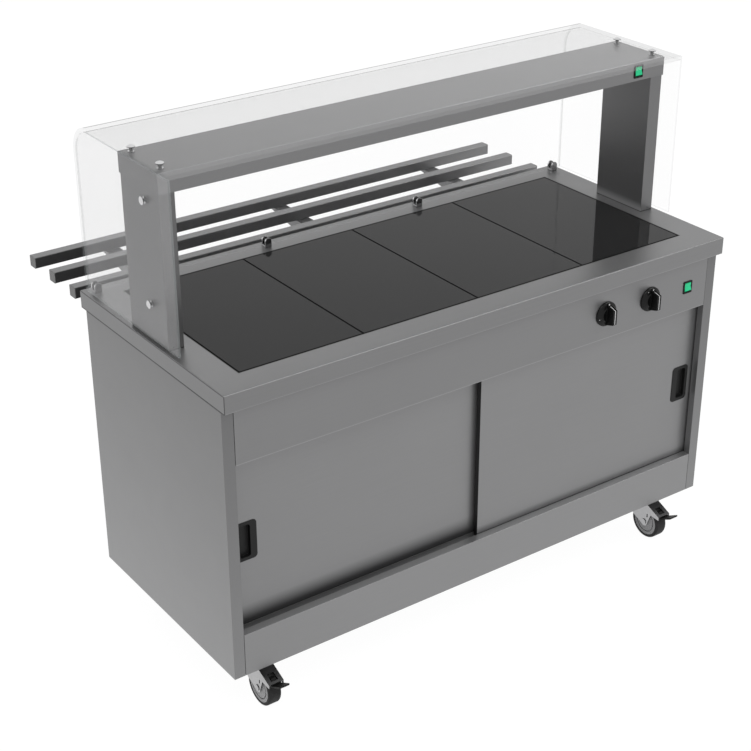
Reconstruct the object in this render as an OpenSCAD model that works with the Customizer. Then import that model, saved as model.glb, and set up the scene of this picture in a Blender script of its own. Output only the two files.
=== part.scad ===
// Hot cupboard servery counter: heated glass hob, gantry with a curved guard, sliding doors,
// tray rails on the customer side and four swivel castors.
// X runs along the counter, +Y points to the customer side, the servers stand at -Y.
// Inside the modules y = 0 lies under the middle of the worktop; home() moves the whole
// counter so that the origin is on the floor, under the middle of its overall size.

/* [Worktop] */
// Length of the worktop
top_l = 1510; // [1300:10:1800]
// Depth of the worktop
top_d = 680; // [660:5:720]
// Working height above the floor
top_z = 908; // [880:1:950]
// Height of the folded lip round the worktop
lip_h = 46; // [30:1:60]
// Thickness of the folded sheet
sheet = 1.5; // [1:0.1:2]
// Outer radius of the folds along the worktop's edges
edge_r = 3; // [2.5:0.5:5]
// Width of the return folded in under the front and rear lips
lip_return = 11; // [6:1:14]

/* [Hob] */
// Number of glass tiles
tiles = 4; // [3:1:5]
// Distance from the worktop's ends to the hob
hob_inset = 85.75; // [70:0.25:120]
// Depth of one glass tile
tile_d = 528; // [480:1:540]
// Thickness of the glass tiles
tile_t = 6; // [4:0.5:8]
// Width of the sealing bead between the tiles
seal_w = 2.5; // [1.5:0.5:4]
// Width of the sealing bead round the hob's edge
margin_w = 3.5; // [2:0.5:5]
// Depth of the bead's face under the face of the glass
seal_low = 1; // [0.5:0.1:2]
// Distance of the hob's middle behind the worktop's middle
hob_y = 5; // [0:1:10]
// Depth of the tray under the glass
tray_h = 55; // [35:1:60]
// Width of the ledge that carries the glass
tray_ledge = 14; // [8:1:20]
// Thickness of the heater mats under the glass
mat_t = 3; // [2:0.5:5]

/* [Cupboard] */
// How far the side panels stand in from the worktop's ends
side_inset = 2; // [2:0.5:6]
// How far the front panels stand in from the worktop's front edge
front_inset = 18; // [15:1:30]
// How far the back panel stands in from the worktop's rear edge
rear_inset = 21; // [15:1:40]
// Height of the bottom rail
rail_h = 115; // [90:1:130]
// Height of the control fascia below the worktop's lip
fascia_h = 145; // [120:1:170]
// Width of the front stiles
stile_w = 30; // [20:1:45]
// Depth of the ledges behind the bottom rail and the fascia
ledge_d = 22; // [15:1:30]
// Width of the folded stiffening flanges
flange_w = 20; // [12:1:25]
// Open seam between neighbouring front panels
seam = 1; // [0.5:0.1:1.5]
// Gap kept between panels that are fitted inside one another
fit = 0.3; // [0.2:0.05:0.4]
// Width of the insulated space between the outer panels and the lining
wall_gap = 35; // [25:1:45]
// Height of the shelf above the cupboard floor
shelf_h = 238; // [180:1:300]
// Height of the shelf's folded edges
shelf_edge = 20; // [12:1:30]
// Width of the slots in the shelf and the cupboard floor
slot_w = 8; // [5:1:10]
// Length of the slots in the shelf and the cupboard floor
slot_l = 70; // [40:5:90]
// Number of slot columns along the cupboard
slot_columns = 12; // [8:1:14]
// Number of slot rows across the cupboard
slot_rows = 5; // [3:1:7]

/* [Sliding doors] */
// Thickness of the doors
door_t = 13; // [10:0.5:16]
// Gap between the two doors
door_space = 5; // [4:0.5:8]
// Running gap between a door and the panel in front of it
run_gap = 1; // [0.6:0.1:1.5]
// Overlap of the closed doors at the middle of the counter
door_overlap = 24; // [16:1:40]
// How far each door reaches behind its stile
door_lap = 10; // [6:1:14]
// How far the doors reach down behind the bottom rail
door_drop = 9; // [6:1:10]
// How far the doors reach up behind the fascia
door_rise = 24; // [18:1:28]
// Height of the nylon glides on the doors' edges
glide_h = 3; // [2:0.5:4]
// Length of the nylon glides
glide_l = 60; // [40:5:90]

/* [Door handles] */
// Width of the flush handles
pull_w = 56; // [50:1:70]
// Height of the flush handles
pull_h = 104; // [90:1:130]
// Corner radius of the flush handles
pull_r = 10; // [6:1:14]
// Width of the rim above, below and outside the finger recess
pull_rim = 9; // [7:1:12]
// Width of the rim on the recess's inner side
pull_land = 18; // [10:1:20]
// How far the rim stands out of the door
pull_proud = 1.5; // [1:0.1:2.5]
// Wall of the moulded finger cup
pull_wall = 1.2; // [1:0.1:1.5]
// Distance from the door's outer edge to the handle
pull_inset = 24; // [16:1:40]
// Height of the handle's lower edge above the bottom rail
pull_up = 173; // [120:1:240]

/* [Control knobs] */
// Distance from the worktop's end to the outer knob
knob_inset = 235; // [195:1:260]
// Distance between the two knobs
knob_pitch = 152; // [100:1:180]
// Distance of the knobs' axes below the worktop's lip
knob_drop = 74; // [55:1:90]
// Radius of the knob's skirt
skirt_r = 33; // [28:0.5:36]
// Thickness of the knob's skirt
skirt_t = 5; // [4:0.5:8]
// How far the grip bar stands out of the fascia
grip_out = 34; // [28:1:40]
// Length of the grip bar at the skirt
grip_base_l = 56; // [44:1:60]
// Length of the grip bar at its front
grip_tip_l = 39; // [30:1:43]
// Thickness of the grip bar
grip_t = 13; // [9:0.5:16]
// Radius of the control spindles
spindle_r = 3; // [2.5:0.25:4]
// Side length of the control units behind the fascia
unit_w = 44; // [36:1:50]
// Depth of the control units behind the fascia
unit_d = 30; // [20:1:34]

/* [Rocker switches] */
// Distance from the worktop's end to the switches
switch_inset = 100; // [80:1:135]
// Distance of the fascia switch below the worktop's lip
switch_drop = 76; // [50:1:90]
// Width of the switch bezel
bezel_w = 30; // [24:1:34]
// Height of the switch bezel
bezel_h = 34; // [30:1:38]
// Thickness of the bezel's flange
bezel_t = 2; // [1.5:0.5:3]
// Depth of the switch body behind the panel
switch_d = 20; // [14:1:24]
// Wall of the switch body
switch_wall = 2; // [1.5:0.5:3]
// Angle of the rocker at rest
rocker_tilt = 8; // [4:1:12]

/* [Gantry] */
// Height of the gantry's underside above the worktop
gantry_h = 374; // [330:1:420]
// Height of the gantry beam
beam_h = 50; // [44:1:70]
// Depth of the gantry beam
beam_d = 181; // [150:1:200]
// Distance of the beam's middle behind the worktop's middle
gantry_y = 5; // [0:1:20]
// Distance from the worktop's end to the end of the beam
beam_inset = 10; // [8:1:20]
// Width of the gantry posts
post_w = 39; // [30:1:50]
// Depth of the gantry posts
post_d = 175; // [130:1:180]
// How far the posts stand in from the ends of the beam
post_inset = 2; // [1:0.5:6]
// Radius of the quartz lamps
lamp_r = 5; // [4:0.5:6]
// Number of quartz lamps
lamps = 3; // [2:1:4]
// Gap between the holders of neighbouring lamps
lamp_gap = 46; // [20:1:120]
// Length of the lamp holders
holder_l = 12; // [8:1:20]

/* [Glass guard] */
// Thickness of the curved guard glass
glass_t = 10; // [8:1:12]
// Thickness of the end glasses
end_t = 6; // [5:0.5:8]
// Inner radius of the guard's bend
bend_r = 62; // [40:1:90]
// Distance of the guard's front edge before the middle of the worktop
guard_front = 143; // [120:1:170]
// Distance of the guard's upright face from the worktop's rear edge
guard_inset = 39; // [32:1:60]
// Gap between the gantry beam and the guard, filled by washers
guard_gap = 2; // [1:0.5:4]
// Gap between the worktop and the end glasses
end_gap = 9; // [4:1:15]
// Width of a glass clip
clip_w = 19; // [14:1:26]
// Height of a glass clip
clip_h = 26; // [20:1:36]
// Wall of a glass clip on either side of the glass
clip_wall = 5; // [3:0.5:7]
// Height of the clip's base under the glass
clip_base = 6; // [4:1:10]
// Distance of the outer clips from the worktop's end
clip_inset = 29; // [20:1:60]
// Radius of the dome-headed glass bolts
bolt_head_r = 9.5; // [7:0.5:12]
// Height of the dome heads
bolt_head_h = 4; // [3:0.5:8]
// Radius of the bolts' shanks
bolt_r = 4; // [3:0.5:5]
// Distance between the two top bolts at each end
bolt_pitch_y = 132; // [90:1:150]
// Height of the lower side bolt above the worktop
bolt_low = 94; // [60:1:120]
// Distance of the upper side bolt below the gantry's underside
bolt_under = 31; // [24:1:60]

/* [Tray rails] */
// Side of the square rail tubes
tube = 30; // [25:1:40]
// Wall of the rail tubes
tube_wall = 1.5; // [1:0.1:2]
// Corner radius of the rail tubes
tube_r = 2.5; // [2:0.5:4]
// How far the rails stop short of the worktop's ends
tube_inset = 10; // [0:1:60]
// Distance between the rails
tube_pitch = 114.5; // [90:0.5:120]
// Gap between the back panel and the first rail
tube_gap = 74; // [50:1:90]
// Distance of the rails' top below the worktop
tube_drop = 17; // [5:1:25]
// Number of rails
tubes = 3; // [2:1:4]
// Width of the folded rail brackets
arm_w = 40; // [30:1:60]
// Depth of a bracket at the back panel
arm_root = 68; // [50:1:100]
// Depth of a bracket at its tip
arm_tip = 6; // [4:1:10]
// Distance from the rails' ends to the outer brackets
arm_inset = 221; // [100:1:300]

/* [Castors] */
// Distance from the worktop's ends to the swivel axes
castor_inset = 113; // [95:1:160]
// Distance from the worktop's front and rear edges to the swivel axes
castor_margin = 106; // [96:1:130]
// Overall height of a castor
castor_h = 145; // [141:1:150]
// Radius of the wheels
wheel_r = 50; // [46:1:51]
// Width of the wheels
wheel_w = 35; // [28:1:35]
// Thickness of the tyres
tyre_t = 9; // [6:0.5:12]
// Rounding of the tyres' shoulders
shoulder_r = 5; // [3:0.5:6]
// Trail of the axle from the swivel axis
trail = 36; // [30:1:40]
// Thickness of the top plate
plate_t = 4; // [3:0.5:5]
// Length of the top plate
plate_l = 100; // [90:1:120]
// Width of the top plate
plate_w = 85; // [75:1:95]
// Height of the swivel race
race_h = 22; // [18:1:24]
// Radius of the swivel race
race_r = 28; // [22:1:30]
// Outer width of the fork
fork_w = 42; // [41:1:50]
// Thickness of the fork's pressed steel
fork_t = 2.5; // [2:0.5:3]
// Radius of the axle
axle_r = 6; // [5:0.5:7]
// Radius of the king pin
king_r = 6; // [5:0.5:8]
// Width of the brake pedal
pedal_w = 28; // [20:1:30]
// Reach of the pedal ahead of its pivot
pedal_reach = 48; // [40:1:55]
// Rise of the pedal's tip above its pivot
pedal_rise = 20; // [14:1:24]

/* [Hidden] */
$fn = 48;
// Running fit of pins and axles in their bores
pin_fit = 0.05;
// Gap between faces of neighbouring bodies that slide or turn past one another
slide_gap = 0.3;
// Gap at which curved pieces of one body rest on each other
seat_gap = 0.2;
// Overrun of every cut past the faces it opens
cut = 1;

// Places of the main faces
half_l = top_l / 2;
half_d = top_d / 2;
under_z = top_z - sheet;
lip_z = top_z - lip_h;
body_x = half_l - side_inset;
inner_x = body_x - sheet - fit;
front_y = front_inset - half_d;
rear_y = half_d - rear_inset;
back_y = front_y + ledge_d;
base_z = castor_h;
ledge_z = base_z + rail_h;
fascia_z = lip_z - fascia_h;
front_x = body_x - stile_w - seam;
knob_x = half_l - knob_inset;
switch_x = half_l - switch_inset;
turn_h = 6;
// Top of the side panels, lowered past the rounding inside the worktop's fold
fold_in = edge_r - sheet;
fold_over = max(0, edge_r - side_inset);
panel_top = under_z - seat_gap - fold_in + sqrt(fold_in * fold_in - fold_over * fold_over);

// Doors: the right door runs in the front track, the left door behind it
right_y = back_y + run_gap;
left_y = right_y + door_t + door_space;
door_x = body_x - stile_w + door_lap;
door_w = door_x + door_overlap / 2;
door_z = ledge_z - door_drop;
door_top = fascia_z + door_rise;
door_skin = 1;
track_back = left_y + door_t + run_gap;
track_floor = door_z - glide_h - slide_gap;
track_roof = door_top + glide_h + slide_gap;
divider_y = right_y + door_t + (door_space - sheet) / 2;

// Cupboard lining
line_x = body_x - wall_gap;
line_y = rear_y - wall_gap;
roof_z = track_roof + sheet;
shelf_z = ledge_z + shelf_h;
shelf_gap = 3;

// Hob
cut_x = half_l - hob_inset;
tile_pitch = (2 * (cut_x - margin_w) + seal_w) / tiles;
tile_w = tile_pitch - seal_w;
cut_y = tile_d / 2 + margin_w;
glass_z = top_z - tile_t;
tray_x = cut_x - tray_ledge;
tray_y = cut_y - tray_ledge;
mat_margin = 6;

// Gantry and guard
beam_x = half_l - beam_inset;
gantry_z = top_z + gantry_h;
beam_top = gantry_z + beam_h;
post_x = beam_x - post_inset;
hatch_inset = 70;
guard_z = beam_top + guard_gap;
guard_rear = half_d - guard_inset;
guard_bottom = top_z + clip_base + slide_gap;
end_x = beam_x + slide_gap;
end_rear = guard_rear - slide_gap;
end_bend = bend_r - slide_gap;
glass_x = end_x + end_t;
hole_gap = 1.5;
washer_t = 1.2;
washer_rim = 0.5;
holder_gap = 4;
trough_h = 30;
trough_share = 0.6;
trough_front = gantry_y - beam_d / 2 + flange_w;
trough_rear = gantry_y + beam_d / 2 - flange_w;
trough_x = beam_x - hatch_inset;
lamp_pitch = 2 * trough_x / lamps;
lamp_l = lamp_pitch - 2 * holder_l - lamp_gap;
lamp_z = gantry_z + trough_h / 2;

// Tray rails
tube_l = top_l - 2 * tube_inset;
arm_pitch = tube_l / 2 - arm_inset;
tube_top = top_z - tube_drop;
tube_low = tube_top - tube;
tube_first = rear_y + tube_gap;
rear_reach = tube_first + (tubes - 1) * tube_pitch + tube;
arm_short = 8;
cap_t = 2;
cap_in = 12;

// Castor, measured from the swivel axis on the floor
castor_x = half_l - castor_inset;
castor_y = half_d - castor_margin;
hub_r = wheel_r - tyre_t;
crown_z = castor_h - plate_t - race_h;
roof_start = 20;
roof_reach = 55;
roof_drop = 30;
roof_front = trail + roof_reach;
roof_rear = 24;
roof_slope = atan(roof_drop / (roof_front - roof_start));
cheek_lip = 10;
strap_y = 60;
strap_drop = 38;
heel_y = 8;
heel_z = 56;
lobe_r = 13;
pivot_back = 11;
pivot_y = roof_front - pivot_back;
pivot_low = 8.6;
pivot_z = crown_z - roof_drop * (pivot_y - roof_start) / (roof_front - roof_start) - pivot_low;
pivot_r = 2.5;
barrel_r = 4.5;
pedal_t = 4;
pedal_angle = 20;
nose_r = 1.5;
pedal_tip_y = pivot_y + pedal_reach;
front_reach = castor_y + pedal_tip_y;
middle_y = (rear_reach - front_reach) / 2;

// Colours
steel = [0.56, 0.57, 0.58];
dark_steel = [0.42, 0.43, 0.44];
bright = [0.78, 0.79, 0.8];
black = [0.08, 0.08, 0.09];
hob_black = [0.16, 0.16, 0.17];
green = [0.1, 0.62, 0.36];
clear = [0.85, 0.93, 0.93, 0.3];
grey = [0.6, 0.62, 0.63];
white = [0.9, 0.9, 0.88];

// Building blocks

// Moves the counter so that the origin is under the middle of its overall size
module home() {
    translate([0, -middle_y, 0]) children();
}

// Block between two opposite corners
module slab(low, high) {
    translate(low) cube(high - low);
}

// Rectangular frame, half sizes outside and inside, between two heights
module frame_ring(out, inn, z_low, z_high) {
    difference() {
        slab([-out[0], -out[1], z_low], [out[0], out[1], z_high]);
        slab([-inn[0], -inn[1], z_low - cut], [inn[0], inn[1], z_high + cut]);
    }
}

// Side profile drawn as (y, z), extruded along X and centred
module across(w) {
    translate([-w / 2, 0, 0]) rotate([90, 0, 90]) linear_extrude(w) children();
}

// Front view drawn as (x, z), extruded towards +Y from y
module facing(y, depth) {
    translate([0, y + depth, 0]) rotate([90, 0, 0]) linear_extrude(depth) children();
}

// Rod along X, centred
module rod(r, w) {
    rotate([0, 90, 0]) cylinder(r = r, h = w, center = true);
}

// Rectangle with rounded corners, centred
module round_rect(w, h, r) {
    square([w - 2 * r, h], center = true);
    square([w, h - 2 * r], center = true);
    for (x = [-1, 1], y = [-1, 1])
        translate([x * (w / 2 - r), y * (h / 2 - r)]) circle(r);
}

// Rectangle standing on zero with its two top corners rounded
module fold_profile(w, h, r) {
    translate([-w / 2, 0]) square([w, h - r]);
    translate([r - w / 2, 0]) square([w - 2 * r, h]);
    for (x = [-1, 1]) translate([x * (w / 2 - r), h - r]) circle(r);
}

// Tray turned upside down: rounded folds along its top edges, sharp welded corners
module folded_top(l, d, h, r) {
    intersection() {
        translate([0, d / 2, 0]) rotate([90, 0, 0]) linear_extrude(d) fold_profile(l, h, r);
        across(l) fold_profile(d, h, r);
    }
}

// Grid of slots, cut down through a sheet whose top is at z
module slot_grid(l, d, z) {
    for (i = [0 : slot_columns - 1], j = [0 : slot_rows - 1])
        translate([(i + 0.5) * l / slot_columns - l / 2, (j + 0.5) * d / slot_rows - d / 2, z - sheet - cut])
            linear_extrude(sheet + 2 * cut) round_rect(slot_l, slot_w, slot_w / 2 - fit);
}

// Worktop and hob

module worktop() color(steel) home() {
    difference() {
        translate([0, 0, lip_z]) folded_top(top_l, top_d, lip_h, edge_r);
        translate([0, 0, lip_z - cut])
            folded_top(top_l - 2 * sheet, top_d - 2 * sheet, lip_h + cut - sheet, edge_r - sheet);
        slab([-cut_x, hob_y - cut_y, under_z - cut], [cut_x, hob_y + cut_y, top_z + cut]);
    }
    for (side = [0, 1]) mirror([0, side, 0])
        slab([sheet - half_l, -half_d + sheet / 2, lip_z],
            [half_l - sheet, sheet + lip_return - half_d, lip_z + sheet]);
}

// Centre of a tile along the counter
function tile_x(i) = (i + 0.5 - tiles / 2) * tile_pitch;

module hob_tiles() color(hob_black) home() {
    for (i = [0 : tiles - 1])
        translate([tile_x(i), hob_y, glass_z + tile_t / 2])
            cube([tile_w, tile_d, tile_t], center = true);
}

module hob_seal() color(black) home() {
    difference() {
        slab([fit - cut_x, hob_y + fit - cut_y, glass_z],
            [cut_x - fit, hob_y + cut_y - fit, top_z - seal_low]);
        for (i = [0 : tiles - 1])
            translate([tile_x(i), hob_y, glass_z + tile_t / 2])
                cube([tile_w + fit, tile_d + fit, tile_t + 2 * cut], center = true);
    }
}

module hob_heaters() color(dark_steel) home() {
    mat_w = tile_w - 2 * tray_ledge - 2 * mat_margin;
    mat_d = tile_d - 2 * tray_ledge - 2 * mat_margin;
    for (i = [0 : tiles - 1])
        translate([tile_x(i), hob_y, glass_z - mat_t / 2])
            cube([mat_w, mat_d, mat_t], center = true);
}

module hob_tray() color(steel) home() translate([0, hob_y, 0]) {
    low_z = glass_z - tray_h;
    frame_ring([cut_x + flange_w, cut_y + flange_w], [cut_x, cut_y], under_z - sheet, under_z);
    frame_ring([cut_x + sheet, cut_y + sheet], [cut_x, cut_y], glass_z - sheet, under_z);
    frame_ring([cut_x + sheet, cut_y + sheet], [tray_x, tray_y], glass_z - sheet, glass_z);
    frame_ring([tray_x + sheet, tray_y + sheet], [tray_x, tray_y], low_z, glass_z);
    slab([-tray_x - sheet, -tray_y - sheet, low_z], [tray_x + sheet, tray_y + sheet, low_z + sheet]);
    for (i = [1 : tiles - 1])
        translate([(i - tiles / 2) * tile_pitch, 0, 0])
            slab([-tray_ledge, -tray_y, glass_z - sheet], [tray_ledge, tray_y, glass_z]);
}

// Cupboard body

module side_panel() {
    slab([body_x - sheet, front_y, base_z], [body_x, rear_y, panel_top]);
    slab([body_x - stile_w, front_y, base_z], [body_x, front_y + sheet, panel_top]);
    slab([body_x - stile_w, front_y, base_z],
        [body_x - stile_w + sheet, back_y - sheet - fit, panel_top]);
    slab([body_x - flange_w, front_y, panel_top - sheet], [body_x, rear_y - sheet - fit, panel_top]);
}

module side_panel_left() color(steel) home() mirror([1, 0, 0]) side_panel();

module side_panel_right() color(steel) home() side_panel();

// Place of the cable gland on the back panel
gland_inset = 193;
gland_x = body_x - gland_inset;
gland_up = 60;
gland_z = base_z + gland_up;
gland_r = 10;

module back_panel() color(steel) home() {
    difference() {
        union() {
            slab([-inner_x, rear_y - sheet, base_z], [inner_x, rear_y, under_z]);
            for (side = [0, 1]) mirror([side, 0, 0])
                slab([inner_x - sheet, rear_y - flange_w, base_z + flange_w],
                    [inner_x, rear_y, under_z - flange_w]);
        }
        translate([gland_x, rear_y, gland_z]) rotate([90, 0, 0])
            cylinder(r = gland_r + fit, h = 2 * (sheet + cut), center = true);
    }
}

// Heating element: runs side by side, joined by half-turn bends
element_r = 4.25;
element_inset = 303;
element_l = 2 * (body_x - element_inset);
element_pitch = 80;
element_runs = 4;
element_z = 45;
saddle_inset = 120;
saddle_x = element_l / 2 - saddle_inset;
saddle_t = 3;

module base_pan() color(dark_steel) home() {
    wall = 30;
    pan_front = back_y + fit;
    pan_rear = rear_y - sheet - fit;
    saddle_half = element_pitch * element_runs / 2;
    slab([-inner_x, pan_front, base_z], [inner_x, pan_rear, base_z + sheet]);
    for (y = [pan_front, pan_rear - sheet])
        slab([flange_w - inner_x, y, base_z], [inner_x - flange_w, y + sheet, base_z + wall]);
    for (side = [0, 1]) mirror([side, 0, 0])
        slab([inner_x - 2 * sheet - fit, pan_front, base_z],
            [inner_x - sheet - fit, pan_rear, base_z + wall]);
    for (x = [-1, 1])
        slab([x * saddle_x - saddle_t / 2, -saddle_half, base_z],
            [x * saddle_x + saddle_t / 2, saddle_half, base_z + element_z - element_r - seat_gap]);
}

module heating_element() color(grey) home() {
    first_y = -(element_runs - 1) * element_pitch / 2;
    translate([0, 0, base_z + element_z]) {
        for (i = [0 : element_runs - 1]) translate([0, first_y + i * element_pitch, 0])
            rod(element_r, element_l);
        for (i = [0 : element_runs - 2]) {
            end = i % 2 == 0 ? 1 : -1;
            translate([end * element_l / 2, first_y + (i + 0.5) * element_pitch, 0])
                rotate([0, 0, end > 0 ? -90 : 90])
                    rotate_extrude(angle = 180) translate([element_pitch / 2, 0]) circle(element_r);
        }
    }
}

module bottom_rail() color(steel) home() {
    slab([-front_x, front_y, base_z], [front_x, front_y + sheet, ledge_z]);
    slab([-front_x, front_y, base_z], [front_x, back_y, base_z + sheet]);
    slab([-front_x, front_y, ledge_z - sheet], [front_x, back_y, ledge_z]);
    slab([-front_x, back_y - sheet, ledge_z - turn_h], [front_x, back_y, ledge_z]);
}

// Axes of the controls
unit_z = lip_z - knob_drop;
bush_r = spindle_r + 2 * sheet;
switch_z = lip_z - switch_drop;
socket_w = bezel_w - 2 * bezel_t;
socket_h = bezel_h - 2 * bezel_t;

module switch_hole(y, z) {
    slab([switch_x - socket_w / 2 - fit, y - cut, z - socket_h / 2 - fit],
        [switch_x + socket_w / 2 + fit, y + sheet + cut, z + socket_h / 2 + fit]);
}

module control_fascia() color(steel) home() {
    difference() {
        union() {
            slab([-front_x, front_y, fascia_z], [front_x, front_y + sheet, under_z]);
            slab([-front_x, front_y, fascia_z], [front_x, back_y, fascia_z + sheet]);
            slab([-front_x, back_y - sheet, fascia_z], [front_x, back_y, fascia_z + turn_h]);
        }
        for (x = [knob_x - knob_pitch, knob_x]) translate([x, front_y, unit_z])
            rotate([90, 0, 0]) cylinder(r = bush_r + fit, h = 2 * (sheet + cut), center = true);
        switch_hole(front_y, switch_z);
    }
}

module cupboard_lining() color(steel) home() {
    ledge = 15;
    for (side = [0, 1]) mirror([side, 0, 0]) {
        slab([line_x, track_back + sheet + fit, ledge_z], [line_x + sheet, line_y, track_roof + sheet]);
        slab([line_x - ledge, track_back + flange_w, shelf_z - shelf_edge - sheet],
            [line_x + sheet, line_y - flange_w, shelf_z - shelf_edge]);
    }
    slab([-line_x - sheet, line_y + fit, ledge_z],
        [line_x + sheet, line_y + fit + sheet, track_roof + sheet]);
}

module cupboard_ceiling() color(steel) home() {
    roof_x = inner_x - sheet - fit;
    slab([-roof_x, back_y - sheet, roof_z], [roof_x, line_y + flange_w, roof_z + sheet]);
    slab([-roof_x, line_y + flange_w - sheet, roof_z], [roof_x, line_y + flange_w, roof_z + flange_w]);
}

module cupboard_floor() color(steel) home() {
    floor_front = track_back + sheet + fit;
    floor_d = line_y - floor_front;
    difference() {
        slab([-line_x - flange_w, floor_front, ledge_z - sheet],
            [line_x + flange_w, rear_y - sheet - fit, ledge_z]);
        translate([0, floor_front + floor_d / 2, 0])
            slot_grid(2 * line_x - 2 * slot_l, floor_d - 2 * slot_l, ledge_z);
    }
    for (y = [floor_front + flange_w, line_y - flange_w])
        slab([-line_x, y, ledge_z - flange_w], [line_x, y + sheet, ledge_z]);
    slab([-line_x - flange_w, rear_y - 2 * sheet - fit, ledge_z - flange_w],
        [line_x + flange_w, rear_y - sheet - fit, ledge_z]);
}

module cupboard_shelf() color(steel) home() {
    edge_x = line_x - shelf_gap;
    edge_front = track_back + flange_w;
    edge_rear = line_y - flange_w;
    shelf_d = edge_rear - edge_front;
    translate([0, (edge_front + edge_rear) / 2, 0]) {
        difference() {
            slab([-edge_x, -shelf_d / 2, shelf_z - sheet], [edge_x, shelf_d / 2, shelf_z]);
            slot_grid(2 * edge_x - 2 * slot_l, shelf_d - 2 * slot_l, shelf_z);
        }
        frame_ring([edge_x, shelf_d / 2], [edge_x - sheet, shelf_d / 2 - sheet],
            shelf_z - shelf_edge, shelf_z);
    }
}

// Track section: a strip and three walls, heights from the strip's outer face
module track(front_h, middle_h, back_h) {
    slab([-inner_x, back_y - sheet, 0], [inner_x, track_back + sheet, sheet]);
    slab([-inner_x, back_y - sheet, 0], [inner_x, back_y, front_h]);
    slab([-inner_x, divider_y, 0], [inner_x, divider_y + sheet, middle_h]);
    slab([-inner_x, track_back, 0], [inner_x, track_back + sheet, back_h]);
}

module bottom_track() color(bright) home() {
    rise = ledge_z - track_floor + sheet;
    translate([0, 0, track_floor - sheet])
        track(rise - turn_h - fit, rise - fit, rise);
}

module top_track() color(bright) home() {
    drop = track_roof - fascia_z + sheet;
    translate([0, 0, track_roof + sheet]) mirror([0, 0, 1])
        track(drop - turn_h - fit, drop - turn_h - fit, drop - turn_h - fit);
}

// Sliding doors

// Centre of the handle, seen from the front
pull_x = door_x - pull_inset - pull_w / 2;
pull_z = ledge_z + pull_up + pull_h / 2;
cup_d = door_t - 2 * door_skin - fit;
cup_w = pull_w - pull_rim - pull_land + 2 * pull_wall;
cup_h = pull_h - 2 * pull_rim + 2 * pull_wall;
cup_x = (pull_land - pull_rim) / 2;
cup_r = pull_r - pull_rim / 4;
vent_r = 3;

// Double-skinned door seen from the front, its outer edge at +X
module door(y) {
    difference() {
        slab([door_x - door_w, y, door_z], [door_x, y + door_t, door_top]);
        difference() {
            slab([door_x - door_w + door_skin, y + door_skin, door_z + door_skin],
                [door_x - door_skin, y + door_t - door_skin, door_top - door_skin]);
            slab([pull_x - pull_w / 2, y, pull_z - pull_h / 2],
                [pull_x + pull_w / 2, y + door_t, pull_z + pull_h / 2]);
        }
        translate([pull_x + cup_x, 0, pull_z]) facing(y - cut, cup_d + fit + cut)
            round_rect(cup_w + 2 * fit, cup_h + 2 * fit, cup_r);
        for (x = [door_x - door_w / 4, door_x - 3 * door_w / 4])
            translate([x, y + door_t / 2, door_top])
                cylinder(r = vent_r, h = 2 * (door_skin + cut), center = true);
    }
}

module door_left() color(steel) home() mirror([1, 0, 0]) door(left_y);

module door_right() color(steel) home() door(right_y);

// Moulded handle: a rim on the door's face round a finger cup
module handle(y) {
    translate([pull_x, 0, pull_z]) difference() {
        union() {
            facing(y - pull_proud, pull_proud) round_rect(pull_w, pull_h, pull_r);
            translate([cup_x, 0, 0]) facing(y - pull_proud, pull_proud + cup_d)
                round_rect(cup_w, cup_h, cup_r - fit);
        }
        translate([cup_x, 0, 0]) facing(y - pull_proud - cut, cup_d + pull_proud - pull_wall + cut)
            round_rect(cup_w - 2 * pull_wall, cup_h - 2 * pull_wall, cup_r - fit - pull_wall);
    }
}

module handle_left() color(black) home() mirror([1, 0, 0]) handle(left_y);

module handle_right() color(black) home() handle(right_y);

module glides(y) {
    for (x = [door_x - glide_l, door_x - door_w])
        for (z = [door_z - glide_h, door_top])
            slab([x, y, z], [x + glide_l, y + door_t, z + glide_h]);
}

module glides_left() color(white) home() mirror([1, 0, 0]) glides(left_y);

module glides_right() color(white) home() glides(right_y);

// Controls

// Control unit: a box behind the fascia with a bush and a nut through it
module control_unit(x) {
    nut_t = 2;
    translate([x, front_y + sheet, unit_z]) difference() {
        union() {
            slab([-unit_w / 2, 0, -unit_w / 2], [unit_w / 2, unit_d, unit_w / 2]);
            rotate([90, 0, 0]) cylinder(r = bush_r, h = sheet + nut_t);
        }
        translate([0, unit_d / 2, 0]) rotate([90, 0, 0])
            cylinder(r = spindle_r + pin_fit, h = unit_d / 2 + sheet + nut_t + cut);
    }
}

module hob_regulator() color(white) home() control_unit(knob_x - knob_pitch);

module thermostat() color(white) home() control_unit(knob_x);

// Distance from the fascia to the back of the knob, and the knob's inner sizes
knob_gap = 0.8;
knob_wall = 2.5;
stem_r = spindle_r + knob_wall;
barrel_share = 0.55;
spindle_in = 18;

// Knob about its own axis: a domed skirt, a hub and a grip bar with sloping ends
module knob(x) {
    crown_t = skirt_t + knob_wall;
    translate([x, front_y - knob_gap, unit_z]) difference() {
        union() {
            rotate([90, 0, 0]) rotate_extrude()
                polygon([[0, 0], [skirt_r, 0], [skirt_r, skirt_t / 2], [skirt_r - skirt_t / 2, skirt_t],
                    [skirt_r * barrel_share + knob_wall, crown_t],
                    [skirt_r * barrel_share, crown_t + knob_wall], [0, crown_t + knob_wall]]);
            across(grip_t)
                polygon([[0, -grip_base_l / 2], [-skirt_t, -grip_base_l / 2],
                    [knob_gap - grip_out, -grip_tip_l / 2], [knob_gap - grip_out, grip_tip_l / 2],
                    [-skirt_t, grip_base_l / 2], [0, grip_base_l / 2]]);
        }
        // Hollow back of the skirt round the bush, and the bore for the spindle
        translate([0, cut, 0]) rotate([90, 0, 0]) cylinder(r = bush_r + knob_wall, h = cut + 2 * sheet + fit);
        translate([0, cut, 0]) rotate([90, 0, 0]) cylinder(r = spindle_r + pin_fit, h = cut + spindle_in);
    }
}

module knob_left() color(black) home() knob(knob_x - knob_pitch);

module knob_right() color(black) home() knob(knob_x);

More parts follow.
